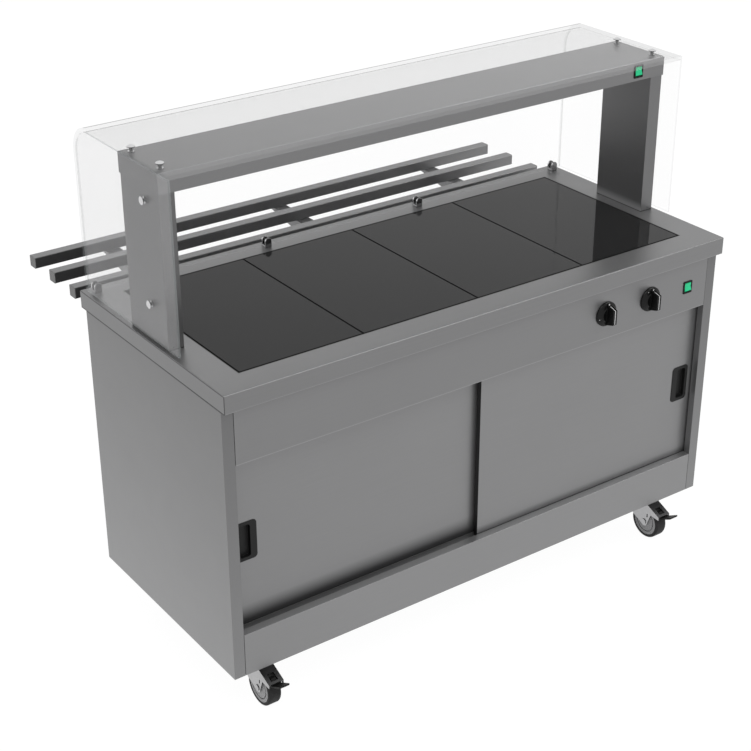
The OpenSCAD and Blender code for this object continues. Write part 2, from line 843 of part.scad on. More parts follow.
module spindle(x) {
    translate([x, front_y + sheet + unit_d / 2 - fit, unit_z]) rotate([90, 0, 0])
        cylinder(r = spindle_r, h = unit_d / 2 - 2 * fit + sheet + knob_gap + spindle_in);
}

module spindle_left() color(bright) home() spindle(knob_x - knob_pitch);

module spindle_right() color(bright) home() spindle(knob_x);

// Rocker switch, measured from the middle of the panel's cut-out
window_h = socket_h - 2 * switch_wall;
window_w = socket_w - 2 * switch_wall;
rocker_r = window_h / 2 - slide_gap;
rocker_w = window_w - 2 * slide_gap;
rocker_pin = 1.5;
rocker_depth = 5;
rocker_front_share = 0.5;
rocker_dip_share = 0.28;

module bezel() {
    difference() {
        union() {
            facing(-bezel_t, bezel_t) round_rect(bezel_w, bezel_h, bezel_t);
            facing(0, switch_d) square([socket_w, socket_h], center = true);
        }
        facing(-bezel_t - cut, switch_d + bezel_t - switch_wall + cut)
            square([window_w, window_h], center = true);
        translate([0, rocker_depth, 0]) rod(rocker_pin + pin_fit, socket_w - switch_wall);
    }
}

module rocker() {
    translate([0, rocker_depth, 0]) {
        rotate([-rocker_tilt, 0, 0]) across(rocker_w) intersection() {
            circle(rocker_r);
            polygon([[rocker_r * rocker_dip_share, -rocker_r],
                [-rocker_r * rocker_front_share - rocker_depth / 2, -rocker_r],
                [-rocker_r * rocker_dip_share - rocker_depth / 2, 0],
                [-rocker_r * rocker_front_share - rocker_depth / 2, rocker_r],
                [rocker_r * rocker_dip_share, rocker_r]]);
        }
        rod(rocker_pin, socket_w - switch_wall - 2 * fit);
    }
}

module at_fascia_switch() {
    translate([switch_x, front_y, switch_z]) children();
}

module at_gantry_switch() {
    translate([switch_x, gantry_y - beam_d / 2, gantry_z + beam_h / 2]) children();
}

module switch_bezels() color(black) home() {
    at_fascia_switch() bezel();
    at_gantry_switch() bezel();
}

module rocker_fascia() color(green) home() at_fascia_switch() rocker();

module rocker_gantry() color(green) home() at_gantry_switch() rocker();

// Gantry

// Places of the bolts that hold the end glasses, at the outer face of the posts
module at_side_bolts() {
    for (side = [0, 1], z = [top_z + bolt_low, gantry_z - bolt_under]) mirror([side, 0, 0])
        translate([post_x, gantry_y - post_d / 8, z]) rotate([0, 90, 0]) children();
}

// Places of the bolts that hold the curved glass, on top of the beam
module at_top_bolts() {
    for (side = [0, 1], y = [-1, 1]) mirror([side, 0, 0])
        translate([post_x - post_w / 2, gantry_y + y * bolt_pitch_y / 2, beam_top]) children();
}

// Holes for the bolts, running both ways from the places above
module bolt_holes(r) {
    cylinder(r = r, h = 2 * (beam_h / 4 + glass_t), center = true);
}

// Box posts, open at both ends, with a small fixing hole at the foot of the front wall
module gantry_posts() color(steel) home() difference() {
    foot_in = 13;
    foot_up = 7.5;
    foot_r = 1.8;
    for (side = [0, 1]) mirror([side, 0, 0]) difference() {
        slab([post_x - post_w, gantry_y - post_d / 2, top_z], [post_x, gantry_y + post_d / 2, gantry_z]);
        slab([post_x - post_w + sheet, gantry_y - post_d / 2 + sheet, top_z - cut],
            [post_x - sheet, gantry_y + post_d / 2 - sheet, gantry_z + cut]);
        translate([post_x - foot_in, gantry_y - post_d / 2, top_z + foot_up]) rotate([90, 0, 0])
            cylinder(r = foot_r, h = 2 * (sheet + cut), center = true);
    }
    at_side_bolts() bolt_holes(bolt_r + fit);
}

module gantry_beam() color(steel) home() difference() {
    translate([0, gantry_y, 0]) {
        difference() {
            translate([0, 0, gantry_z]) folded_top(2 * beam_x, beam_d, beam_h, edge_r);
            translate([0, 0, gantry_z + sheet])
                folded_top(2 * (beam_x - sheet), beam_d - 2 * sheet, beam_h - 2 * sheet, edge_r - sheet);
            slab([-trough_x, flange_w - beam_d / 2, gantry_z - cut],
                [trough_x, beam_d / 2 - flange_w, gantry_z + 2 * sheet]);
        }
    }
    at_top_bolts() bolt_holes(bolt_r + fit);
    switch_hole(gantry_y - beam_d / 2, gantry_z + beam_h / 2);
}

// Trough that throws the lamps' heat down, open at the bottom, with the lamp holders
module lamp_reflector() color(bright) home() {
    rest_z = gantry_z + sheet;
    outer = [[trough_front - flange_w / 2, rest_z], [trough_front, rest_z],
        [trough_front + (1 - trough_share) * trough_h, rest_z + trough_h],
        [trough_rear - (1 - trough_share) * trough_h, rest_z + trough_h],
        [trough_rear, rest_z], [trough_rear + flange_w / 2, rest_z],
        [trough_rear + flange_w / 2, rest_z + sheet], [trough_rear + sheet, rest_z + sheet],
        [trough_rear - (1 - trough_share) * trough_h + sheet, rest_z + trough_h + sheet],
        [trough_front + (1 - trough_share) * trough_h - sheet, rest_z + trough_h + sheet],
        [trough_front - sheet, rest_z + sheet], [trough_front - flange_w / 2, rest_z + sheet]];
    across(2 * (trough_x - sheet)) polygon(outer);
    for (i = [0 : lamps - 1], end = [-1, 1])
        translate([lamp_place(i) + end * (lamp_l + holder_l) / 2, gantry_y, 0])
            slab([-holder_l / 2, -lamp_r - holder_gap, lamp_z - lamp_r - holder_gap],
                [holder_l / 2, lamp_r + holder_gap, rest_z + trough_h]);
}

// Middle of a lamp along the counter
function lamp_place(i) = (i + 0.5) * lamp_pitch - trough_x;

module heat_lamps() color(white) home() {
    for (i = [0 : lamps - 1]) translate([lamp_place(i), gantry_y, lamp_z]) rod(lamp_r, lamp_l);
}

// Glass guard

// Curved corner between the top and the upright face, as a quarter ring
module bend_profile(r_out, r_in) {
    intersection() {
        difference() {
            circle(r_out);
            if (r_in > 0) circle(r_in);
        }
        square(r_out);
    }
}

module guard_glass() color(clear) home() {
    difference() {
        across(2 * glass_x) {
            translate([-guard_front, guard_z]) square([guard_front + guard_rear - bend_r, glass_t]);
            translate([guard_rear, guard_bottom]) square([glass_t, guard_z - bend_r - guard_bottom]);
            translate([guard_rear - bend_r, guard_z - bend_r]) bend_profile(bend_r + glass_t, bend_r);
        }
        at_top_bolts() bolt_holes(bolt_r + hole_gap);
    }
}

module end_glasses() color(clear) home() {
    low = top_z + end_gap;
    high = guard_z - slide_gap;
    for (side = [0, 1]) mirror([side, 0, 0]) difference() {
        translate([end_x + end_t / 2, 0, 0]) across(end_t) {
            translate([-guard_front, low]) square([guard_front + end_rear - end_bend, high - low]);
            translate([-guard_front, low]) square([guard_front + end_rear, high - end_bend - low]);
            translate([end_rear - end_bend, high - end_bend]) bend_profile(end_bend, 0);
        }
        at_side_bolts() bolt_holes(bolt_r + hole_gap);
    }
}

module glass_clips() color(bright) home() {
    slot = glass_t + 2 * slide_gap;
    clip_d = slot + 2 * clip_wall;
    outer = half_l - clip_inset;
    for (x = [-outer, -outer / 3, outer / 3, outer])
        translate([x, guard_rear + glass_t / 2, top_z]) difference() {
            facing(-clip_d / 2, clip_d) {
                translate([-clip_w / 2, 0]) square([clip_w, clip_h - clip_w / 2]);
                translate([0, clip_h - clip_w / 2]) circle(clip_w / 2);
            }
            slab([-clip_w, -slot / 2, clip_base], [clip_w, slot / 2, clip_h + cut]);
        }
}

// Dome-headed bolt standing on its seat, with its washers under and over the glass
module glass_bolt(gap, glass) {
    dome_r = (bolt_head_r * bolt_head_r + bolt_head_h * bolt_head_h) / (2 * bolt_head_h);
    washer_z = gap + glass;
    head_z = washer_z + washer_t;
    cylinder(r = bolt_head_r - sheet, h = gap);
    translate([0, 0, -beam_h / 4]) cylinder(r = bolt_r, h = beam_h / 4 + head_z);
    translate([0, 0, washer_z]) cylinder(r = bolt_head_r + washer_rim, h = washer_t);
    translate([0, 0, head_z]) intersection() {
        cylinder(r = bolt_head_r, h = bolt_head_h);
        translate([0, 0, bolt_head_h - dome_r]) sphere(dome_r);
    }
}

module glass_bolts() color(bright) home() {
    at_top_bolts() glass_bolt(guard_gap, glass_t);
    at_side_bolts() glass_bolt(end_x - post_x, end_t);
}

// Tray rails

module at_tubes() {
    for (i = [0 : tubes - 1])
        translate([0, tube_first + tube / 2 + i * tube_pitch, tube_top - tube / 2]) children();
}

module tray_rails() color(steel) home() at_tubes() difference() {
    across(tube_l - 2 * cap_t) round_rect(tube, tube, tube_r);
    across(tube_l) round_rect(tube - 2 * tube_wall, tube - 2 * tube_wall, tube_r - tube_wall);
}

module rail_caps() color(dark_steel) home() at_tubes()
    for (side = [0, 1]) mirror([side, 0, 0]) {
        plug = tube - 2 * tube_wall - fit;
        translate([tube_l / 2 - cap_t / 2, 0, 0]) across(cap_t) round_rect(tube, tube, tube_r);
        translate([(tube_l - cap_in) / 2 - cap_t / 2, 0, 0]) across(cap_in)
            round_rect(plug, plug, tube_r - tube_wall);
    }

// Folded bracket: a top strip, a back strip and two tapering webs
module rail_brackets() color(dark_steel) home() {
    arm_end = rear_reach - arm_short;
    for (i = [-1, 0, 1]) translate([i * arm_pitch, 0, 0]) {
        slab([-arm_w / 2, rear_y, tube_low - sheet], [arm_w / 2, arm_end, tube_low]);
        slab([-arm_w / 2, rear_y, tube_low - arm_root], [arm_w / 2, rear_y + sheet, tube_low]);
        for (x = [-1, 1]) translate([x * (arm_w - sheet) / 2, 0, 0]) across(sheet)
            polygon([[rear_y, tube_low], [arm_end, tube_low], [arm_end, tube_low - arm_tip],
                [rear_y, tube_low - arm_root]]);
    }
}

// Gland for the supply cable: a shank through the panel, a flange and a tapering nose
cable_r = 5.5;

module cable_gland() color(black) home() {
    flange_t = 4;
    nose = 16;
    nut = 5;
    translate([gland_x, rear_y, gland_z]) rotate([-90, 0, 0]) rotate_extrude()
        polygon([[cable_r, -sheet - nut], [gland_r, -sheet - nut], [gland_r, 0], [gland_r + flange_t, 0],
            [gland_r + flange_t, flange_t], [gland_r, flange_t], [gland_r - sheet, nose], [cable_r, nose]]);
}

// Castors

// The four swivel axes, 1 and 2 at the front, 3 and 4 at the rear
castors = [[-castor_x, -castor_y], [castor_x, -castor_y], [-castor_x, castor_y], [castor_x, castor_y]];

module at_castor(i) {
    translate([castors[i - 1][0], castors[i - 1][1], 0]) children();
}

module castor_plates() color(bright) home() {
    head_r = 7;
    head_t = 5;
    nut_r = 10;
    nut_t = 6;
    plate_z = castor_h - plate_t;
    nut_z = crown_z - fork_t - slide_gap - nut_t;
    for (i = [1 : 4]) at_castor(i) {
        slab([-plate_l / 2, -plate_w / 2, plate_z], [plate_l / 2, plate_w / 2, castor_h]);
        for (x = [-1, 1], y = [-1, 1])
            translate([x * (plate_l / 2 - 2 * head_t), y * (plate_w / 2 - 2 * head_t), plate_z - head_t])
                cylinder(r = head_r, h = head_t + plate_t / 2);
        translate([0, 0, nut_z]) cylinder(r = king_r, h = plate_z - nut_z + plate_t / 2);
        translate([0, 0, nut_z]) cylinder(r = nut_r, h = nut_t);
    }
}

// Side outline of the fork's cheeks, as (y, z)
module cheek_profile() {
    polygon([[roof_rear, crown_z], [-roof_start, crown_z], [-roof_front, crown_z - roof_drop],
        [-roof_front, crown_z - roof_drop - cheek_lip], [-strap_y, crown_z - strap_drop],
        [-trail - lobe_r, wheel_r], [-trail, wheel_r - lobe_r], [heel_y, heel_z]]);
    translate([-trail, wheel_r]) circle(lobe_r);
}

// Pressed roof of the fork: level under the race, sloping down over the wheel
module roof_profile() {
    drop_t = fork_t / cos(roof_slope);
    polygon([[roof_rear, crown_z], [-roof_start, crown_z], [-roof_front, crown_z - roof_drop],
        [-roof_front, crown_z - roof_drop - drop_t], [-roof_start, crown_z - drop_t],
        [roof_rear, crown_z - drop_t]]);
}

module castor_fork(braked) {
    slot_y = 47;
    slot_z = 74;
    slot_size = [4, 11];
    window_w = 20;
    window_l = 23;
    window_in = 7;
    head_t = 2;
    head_r = 8;
    difference() {
        union() {
            across(fork_w) roof_profile();
            for (x = [-1, 1]) translate([x * (fork_w - fork_t) / 2, 0, 0]) across(fork_t) cheek_profile();
            translate([0, 0, crown_z - fork_t]) cylinder(r = race_r, h = race_h + fork_t - slide_gap);
            translate([0, -trail, wheel_r]) {
                rod(axle_r, fork_w);
                for (x = [-1, 1]) translate([x * (fork_w + head_t) / 2, 0, 0]) rod(head_r, head_t);
            }
            if (braked) translate([0, -pivot_y, pivot_z]) rod(pivot_r, fork_w);
        }
        translate([0, 0, crown_z - 2 * fork_t]) cylinder(r = king_r + pin_fit, h = race_h + 3 * fork_t);
        if (braked) translate([0, -slot_y, slot_z]) across(fork_w + 2 * cut)
            round_rect(slot_size[0], slot_size[1], slot_size[0] / 2 - fit);
        translate([0, -roof_front, crown_z - roof_drop]) rotate([roof_slope, 0, 0])
            slab([-window_w / 2, window_in, -fork_t - cut], [window_w / 2, window_in + window_l, cut]);
    }
}

module castor_hub() {
    groove_in_share = 0.71;
    groove_out_share = 0.8;
    groove_in = groove_in_share * hub_r;
    groove_out = groove_out_share * hub_r;
    groove_d = 4;
    boss_r = 12;
    boss_w = fork_w - 2 * fork_t - 2 * slide_gap;
    face = 1;
    translate([0, -trail, wheel_r]) rotate([0, 90, 0]) rotate_extrude() difference() {
        union() {
            translate([axle_r + pin_fit, face - wheel_w / 2])
                square([hub_r - axle_r - pin_fit, wheel_w - 2 * face]);
            translate([axle_r + pin_fit, -boss_w / 2]) square([boss_r - axle_r, boss_w]);
        }
        for (y = [face - wheel_w / 2 - cut, wheel_w / 2 - face - groove_d])
            translate([groove_in, y]) square([groove_out - groove_in, groove_d + cut]);
    }
}

module castor_tyre() {
    inner = hub_r + seat_gap;
    translate([0, -trail, wheel_r]) rotate([0, 90, 0]) rotate_extrude() intersection() {
        translate([inner, -wheel_w / 2]) square([wheel_r - inner, wheel_w]);
        translate([inner, 0]) round_rect(2 * (wheel_r - inner), wheel_w, shoulder_r);
    }
}

// Brake pedal: a barrel on the pivot, an arm that rises forwards and a nose that nears the tyre
module brake_pedal() {
    wheel_back = pivot_y - trail;
    wheel_down = pivot_z - wheel_r;
    nose_reach = sqrt(wheel_back * wheel_back + wheel_down * wheel_down) - wheel_r - slide_gap - nose_r;
    nose_at = -atan2(wheel_down, wheel_back) - pedal_angle;
    knee = 12;
    tab_w = 13;
    tab_reach = 12;
    tab_rise = 9;
    tab_t = 3;
    tip_t = 5.5;
    translate([0, -pivot_y, pivot_z]) difference() {
        union() {
            across(pedal_w) circle(barrel_r);
            across(pedal_w) rotate(nose_at) translate([nose_reach, 0]) circle(nose_r);
            across(pedal_w) polygon([[0, -barrel_r], [-knee, -barrel_r], [-pedal_reach, pedal_rise - tip_t],
                [-pedal_reach, pedal_rise], [-knee, pedal_t - barrel_r], [0, pedal_t - barrel_r]]);
            across(tab_w) polygon([[0, 0], [tab_reach - tab_t, tab_rise - tab_t], [tab_reach, tab_rise],
                [tab_t, tab_rise], [-tab_t / 2, tab_t]]);
        }
        rod(pivot_r + pin_fit, pedal_w + 2 * cut);
    }
}

module castor_fork_1() color(bright) home() at_castor(1) castor_fork(true);
module castor_fork_2() color(bright) home() at_castor(2) castor_fork(true);
module castor_fork_3() color(bright) home() at_castor(3) castor_fork(false);
module castor_fork_4() color(bright) home() at_castor(4) castor_fork(false);
module castor_hub_1() color(grey) home() at_castor(1) castor_hub();
module castor_hub_2() color(grey) home() at_castor(2) castor_hub();
module castor_hub_3() color(grey) home() at_castor(3) castor_hub();
module castor_hub_4() color(grey) home() at_castor(4) castor_hub();
module castor_tyre_1() color(black) home() at_castor(1) castor_tyre();
module castor_tyre_2() color(black) home() at_castor(2) castor_tyre();
module castor_tyre_3() color(black) home() at_castor(3) castor_tyre();
module castor_tyre_4() color(black) home() at_castor(4) castor_tyre();
module brake_pedal_1() color(black) home() at_castor(1) brake_pedal();
module brake_pedal_2() color(black) home() at_castor(2) brake_pedal();

worktop();
hob_seal();
hob_tiles();
hob_heaters();
hob_tray();
side_panel_left();
side_panel_right();
back_panel();
base_pan();
bottom_rail();
control_fascia();
cupboard_lining();
cupboard_ceiling();
cupboard_floor();
cupboard_shelf();
bottom_track();
top_track();
door_left();
door_right();
handle_left();
handle_right();
glides_left();
glides_right();
heating_element();
hob_regulator();
thermostat();
knob_left();
knob_right();
spindle_left();
spindle_right();
switch_bezels();
rocker_fascia();
rocker_gantry();
gantry_posts();
gantry_beam();
lamp_reflector();
heat_lamps();
guard_glass();
end_glasses();
glass_clips();
glass_bolts();
tray_rails();
rail_caps();
rail_brackets();
cable_gland();
castor_plates();
castor_fork_1();
castor_fork_2();
castor_fork_3();
castor_fork_4();
castor_hub_1();
castor_hub_2();
castor_hub_3();
castor_hub_4();
castor_tyre_1();
castor_tyre_2();
castor_tyre_3();
castor_tyre_4();
brake_pedal_1();
brake_pedal_2();
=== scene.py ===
import math

import bmesh
import bpy
from mathutils import Matrix, Vector


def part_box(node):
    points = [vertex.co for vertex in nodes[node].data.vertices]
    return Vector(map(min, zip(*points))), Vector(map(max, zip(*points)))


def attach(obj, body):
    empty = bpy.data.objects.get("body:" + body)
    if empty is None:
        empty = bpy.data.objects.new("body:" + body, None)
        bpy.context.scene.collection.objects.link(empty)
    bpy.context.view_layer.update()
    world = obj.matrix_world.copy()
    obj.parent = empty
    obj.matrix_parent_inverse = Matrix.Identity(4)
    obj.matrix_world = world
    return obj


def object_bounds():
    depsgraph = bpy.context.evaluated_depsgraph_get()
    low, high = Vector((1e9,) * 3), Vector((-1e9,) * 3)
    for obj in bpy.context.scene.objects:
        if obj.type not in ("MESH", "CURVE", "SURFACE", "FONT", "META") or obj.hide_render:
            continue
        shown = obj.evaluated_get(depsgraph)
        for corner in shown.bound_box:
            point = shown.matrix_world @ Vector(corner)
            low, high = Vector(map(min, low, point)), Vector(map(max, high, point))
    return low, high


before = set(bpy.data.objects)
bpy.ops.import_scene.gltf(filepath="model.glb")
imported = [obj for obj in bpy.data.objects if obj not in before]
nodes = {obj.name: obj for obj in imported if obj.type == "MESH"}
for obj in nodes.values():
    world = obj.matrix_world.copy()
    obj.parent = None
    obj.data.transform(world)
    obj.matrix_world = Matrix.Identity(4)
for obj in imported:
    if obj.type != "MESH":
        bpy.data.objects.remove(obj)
cadBox = [list(corner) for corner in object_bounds()]
print("frame loaded:", len(nodes), "nodes")


# Camera, at the place from which the picture was taken
photoCamera = {
    "place": (-2.2660, -3.1773, 2.5436),    # metres, in the counter's own frame
    "turn": 35.329,          # degrees clockwise from +Y
    "down": 27.315,          # degrees below the horizon
    "roll": -0.216,
    "focal": 1634.987,       # pixels
    "picture": 751,          # pixels across
    "sensor": 36.0,          # millimetres
    "reach": 60,             # metres
}


def makeCamera(look):
    turn, down, roll = (math.radians(look[key]) for key in ("turn", "down", "roll"))
    forward = Vector((math.sin(turn) * math.cos(down), math.cos(turn) * math.cos(down), -math.sin(down)))
    level = Vector((math.cos(turn), -math.sin(turn), 0))
    upright = level.cross(forward)
    right = level * math.cos(roll) + upright * math.sin(roll)
    up = upright * math.cos(roll) - level * math.sin(roll)
    data = bpy.data.cameras.new("photoCamera")
    data.sensor_width = look["sensor"]
    data.lens = look["focal"] * look["sensor"] / look["picture"]
    data.clip_end = look["reach"]
    camera = bpy.data.objects.new("photoCamera", data)
    bpy.context.scene.collection.objects.link(camera)
    camera.matrix_world = Matrix.Translation(look["place"]) @ Matrix((
        (right.x, up.x, -forward.x, 0), (right.y, up.y, -forward.y, 0),
        (right.z, up.z, -forward.z, 0), (0, 0, 0, 1)))
    bpy.context.scene.camera = camera


makeCamera(photoCamera)
print("camera placed")


# Shader maths: a socket that can stand in a sum
class Wire:
    def __init__(self, tree, socket):
        self.tree, self.socket = tree, socket

    def maths(self, kind, first, second):
        return self.tree.add("Math", {"operation": kind}, {0: first, 1: second})

    def __add__(self, other):
        return self.maths("ADD", self, other)

    def __radd__(self, other):
        return self.maths("ADD", other, self)

    def __sub__(self, other):
        return self.maths("SUBTRACT", self, other)

    def __rsub__(self, other):
        return self.maths("SUBTRACT", other, self)

    def __mul__(self, other):
        return self.maths("MULTIPLY", self, other)

    def __rmul__(self, other):
        return self.maths("MULTIPLY", other, self)

    def __gt__(self, other):
        return self.maths("GREATER_THAN", self, other)

    def __lt__(self, other):
        return self.maths("LESS_THAN", self, other)

    def __abs__(self):
        return self.maths("ABSOLUTE", self, 0)

    def atLeast(self, other):
        return self.maths("MAXIMUM", self, other)


class Shading:
    # a node tree, and the one way in which nodes are added to it
    def __init__(self, owner):
        owner.use_nodes = True
        self.nodes, self.links = owner.node_tree.nodes, owner.node_tree.links

    def plug(self, socket, value):
        if isinstance(value, Wire):
            self.links.new(value.socket, socket)
        elif isinstance(value, (tuple, list)) and len(value) == 3 and len(socket.default_value) == 4:
            socket.default_value = (*value, 1)
        else:
            socket.default_value = value

    def add(self, kind, settings=None, inputs=None, out=0):
        node = self.nodes.new("ShaderNode" + kind)
        for key, value in (settings or {}).items():
            setattr(node, key, value)
        for key, value in (inputs or {}).items():
            self.plug(node.inputs[key], value)
        return Wire(self, node.outputs[out])

    def ray(self, kind):
        return self.add("LightPath", out=f"Is {kind} Ray")

    def seen(self):
        # 1 for the rays that show the backdrop: seen straight, in metal or through glass
        return self.ray("Camera").atLeast(self.ray("Glossy")).atLeast(self.ray("Transmission"))


coolCast = 1.01          # blue against red and green in a neutral grey


def shade(level):
    return (level, level, level * coolCast)


def swing(noise, reach):
    # a noise from 0 to 1 turned into ups and downs about 0, with this reach from lowest to highest
    return (noise - 0.5) * reach


def gained(mask, gain):
    # the gain where the mask is 1, and no change where it is 0
    return mask * (gain - 1) + 1


# The axis and the sign of each side's outward direction
facings = {"top": ("Z", 1), "front": ("Y", -1), "left": ("X", -1)}
limitEdges = {
    "facing": (0.6, 0.9),    # a surface counts as facing a side from the first share to the second
    "soft": 0.0005,          # metres over which a band fades on either side of its edge
}


class Finish(Shading):
    # one material with its Principled shader
    def __init__(self, name, **fixed):
        self.material = bpy.data.materials.new(name)
        super().__init__(self.material)
        self.shader = self.nodes["Principled BSDF"]
        for socket, value in fixed.items():
            self.feed(socket.replace("_", " "), value)

    def feed(self, socket, value):
        self.plug(self.shader.inputs[socket], value)

    def place(self, stretch=(1, 1, 1)):
        # object coordinates in metres, stretched per axis
        coords = self.add("TexCoord", out="Object")
        return self.add("Mapping", {}, {"Vector": coords, "Scale": stretch})

    def noise(self, scale, stretch=(1, 1, 1), detail=2.0, rough=0.5):
        return self.add("TexNoise", {}, {"Vector": self.place(stretch), "Scale": scale,
                                         "Detail": detail, "Roughness": rough})

    def axis(self, letter):
        coords = self.add("TexCoord", out="Object")
        return self.add("SeparateXYZ", {}, {0: coords}, out=letter)

    def facing(self, letter):
        # how far the surface faces along one axis of the counter
        normal = self.add("TexCoord", out="Normal")
        return self.add("SeparateXYZ", {}, {0: normal}, out=letter)

    def blend(self, factor, first, second):
        # the Mix node keeps its colours in sockets 6 and 7, and their mix in output 2
        return self.add("Mix", {"data_type": "RGBA"}, {0: factor, 6: first, 7: second}, out=2)

    def grey(self, level, gain):
        # a neutral grey times a gain of at most 2, because a Mix node's factor ends at 1
        most = 2
        return self.blend(gain * (1 / most), shade(0), shade(level * most))

    def range(self, value, low, high, toLow, toHigh):
        return self.add("MapRange", {}, {0: value, 1: low, 2: high, 3: toLow, 4: toHigh})

    def climb(self, letter, start, end):
        # 0 at the start and 1 at the end of a stretch along one axis
        return self.range(self.axis(letter), start, end, 0, 1)

    def band(self, letter, middle, half):
        # 1 within a narrow band across one axis, 0 beyond it
        soft = limitEdges["soft"]
        return self.range(abs(self.axis(letter) - middle), half - soft, half + soft, 1, 0)

    def within(self, limits):
        # 1 where all the limits meet
        share = None
        for key, value in limits.items():
            if key == "facing":
                letter, sign = facings[value]
                part = self.range(self.facing(letter) * sign, *limitEdges["facing"], 0, 1)
            elif key == "fade":
                part = self.climb(*value)
            else:
                low, high = value
                part = self.band(key, (low + high) / 2, (high - low) / 2)
            share = part if share is None else share * part
        return share

    def bump(self, height, strength, depth):
        relief = self.add("Bump", {}, {"Height": height, "Strength": strength, "Distance": depth})
        self.feed("Normal", relief)

    def show(self, factor, other):
        # the other shader shows where the factor is 1
        mix = self.add("MixShader", {}, {0: factor, 1: Wire(self, self.shader.outputs[0]), 2: other})
        self.plug(self.nodes["Material Output"].inputs["Surface"], mix)


# Satin stainless sheet: a fine grain along one axis, broad cloudy changes and finger marks, and painted
# light and shade
satinSheet = {
    "tone": 0.200,
    "cloud": 0.05, "cloudScale": 3.1,        # share by which broad patches differ
    "streak": 0.1,           # share by which the grain differs
    "rough": 0.36, "roughGrain": 0.1,
    "smudge": 0.07, "smudgeScale": 14, "smudgeBreak": 0.62,    # finger marks, in the gloss alone
    "metal": 0.80,
    "grainBump": 0.25, "grainDepth": 0.00002,
    "grainAlong": {"x": (5, 700, 700), "y": (700, 5, 700), "z": (700, 700, 5)},
}


def satinSteel(name, along, tone=1.0, rough=0.0, paintedLightAndSmears=()):
    # each mark is (gain, limits): painted highlights and shade on folds, seams and faces, painted fades, or
    # a seal smear;
    # a limit is a facing, a stretch of one axis, or a "fade" that grows from one place on an axis to
    # another
    s = satinSheet
    m = Finish(name, Metallic=s["metal"], Specular_IOR_Level=0.5)
    grain = m.noise(1.0, s["grainAlong"][along], detail=3)
    cloud = m.noise(s["cloudScale"], detail=3)
    smudge = m.noise(s["smudgeScale"], detail=4, rough=s["smudgeBreak"])
    wearAndPaintedLight = swing(grain, s["streak"]) + swing(cloud, s["cloud"]) + 1
    # the marks multiply painted light and shade, and the seal's smears, into the colour
    for gain, limits in paintedLightAndSmears:
        wearAndPaintedLight = wearAndPaintedLight * gained(m.within(limits), gain)
    m.feed("Base Color", m.grey(s["tone"] * tone, wearAndPaintedLight))
    m.feed("Roughness", s["rough"] + rough + swing(grain, s["roughGrain"]) + swing(smudge, s["smudge"]))
    m.bump(grain, s["grainBump"], s["grainDepth"])
    return m.material


# Plain steel: rolled sheet inside the counter, zinc plate on the castors
plainSheet = {
    "metal": 0.85,
    "cloud": 0.3, "cloudScale": 6, "roughCloud": 0.16,
    "gritScale": 420, "roughGrit": 0.08, "gritBump": 0.2, "gritDepth": 0.00004,
    "facing": (0.35, 0.5),   # wider than on the satin sheets, since pressed forks curve
}


def plainSteel(name, tone, rough, shadeOf=None):
    # shadeOf: painted shade, a gain for the faces that face one way
    s = plainSheet
    m = Finish(name, Metallic=s["metal"])
    cloud = m.noise(s["cloudScale"], detail=4)
    grit = m.noise(s["gritScale"], detail=2)
    wearAndPaintedLight = swing(cloud, s["cloud"]) + 1
    for side, gain in (shadeOf or {}).items():
        letter, sign = facings[side]
        wearAndPaintedLight = wearAndPaintedLight * gained(m.range(m.facing(letter) * sign, *s["facing"], 0, 1), gain)
    m.feed("Base Color", m.grey(tone, wearAndPaintedLight))
    m.feed("Roughness", rough + swing(cloud, s["roughCloud"]) + swing(grit, s["roughGrit"]))
    m.bump(grit, s["gritBump"], s["gritDepth"])
    return m.material


# Chrome plate on bolts, clips and the lamps' reflector, with painted shade on the flanks of turned parts
chromeSheet = {
    "cloud": 0.12, "cloudScale": 60, "roughCloud": 0.08,
    "flank": (0.45, 0.75),   # a turned part's flank gives way to its end from the first share to the second
}


def chromePlate(name, tone, rough, dark=1.0, crown=cadBox[1][2]):
    # dark: painted shade on the flanks of turned parts, which stand upright above the crown and lie along X
    # below it
    s = chromeSheet
    m = Finish(name, Metallic=1.0)
    cloud = m.noise(s["cloudScale"], detail=3)
    high = m.axis("Z") > crown
    end = abs(m.facing("Z")) * high + abs(m.facing("X")) * (1 - high)
    flank = m.range(end, *s["flank"], 1, 0)
    wearAndPaintedLight = (swing(cloud, s["cloud"]) + 1) * gained(flank, dark)
    m.feed("Base Color", m.grey(tone, wearAndPaintedLight))
    m.feed("Roughness", rough + swing(cloud, s["roughCloud"]))
    return m.material


# Black ceramic glass of the hob
hobPlate = {
    "ior": 1.5, "gloss": 0.11,
    "dark": 0.009, "speck": 0.015, "speckScale": 900,
    "rough": 0.05, "wipe": 0.05, "wipeScale": 5, "wipeBreak": 0.6, "wipeStretch": (1, 3, 1),
    "sealRough": 0.8, "sealGloss": 0.02,
    "sealHalf": 0.0026,      # half width of the dull black seal over a joint, bead and smear together
}


def hobGlass(name, joints):
    # joints: places along X where two tiles meet
    s = hobPlate
    m = Finish(name, IOR=s["ior"], Specular_IOR_Level=s["gloss"])
    wipe = m.noise(s["wipeScale"], s["wipeStretch"], detail=4, rough=s["wipeBreak"])
    speck = m.noise(s["speckScale"], detail=1)
    black = m.blend(speck, shade(s["dark"]), shade(s["speck"]))
    m.feed("Base Color", black)
    m.feed("Roughness", s["rough"] + swing(wipe, s["wipe"]))
    sealant = m.add("BsdfPrincipled", {}, {"Base Color": black, "Roughness": s["sealRough"],
                                           "Specular IOR Level": s["sealGloss"]})
    line = m.band("X", joints[0], s["sealHalf"])
    for place in joints[1:]:
        line = line.atLeast(m.band("X", place, s["sealHalf"]))
    m.show(line, sealant)
    return m.material
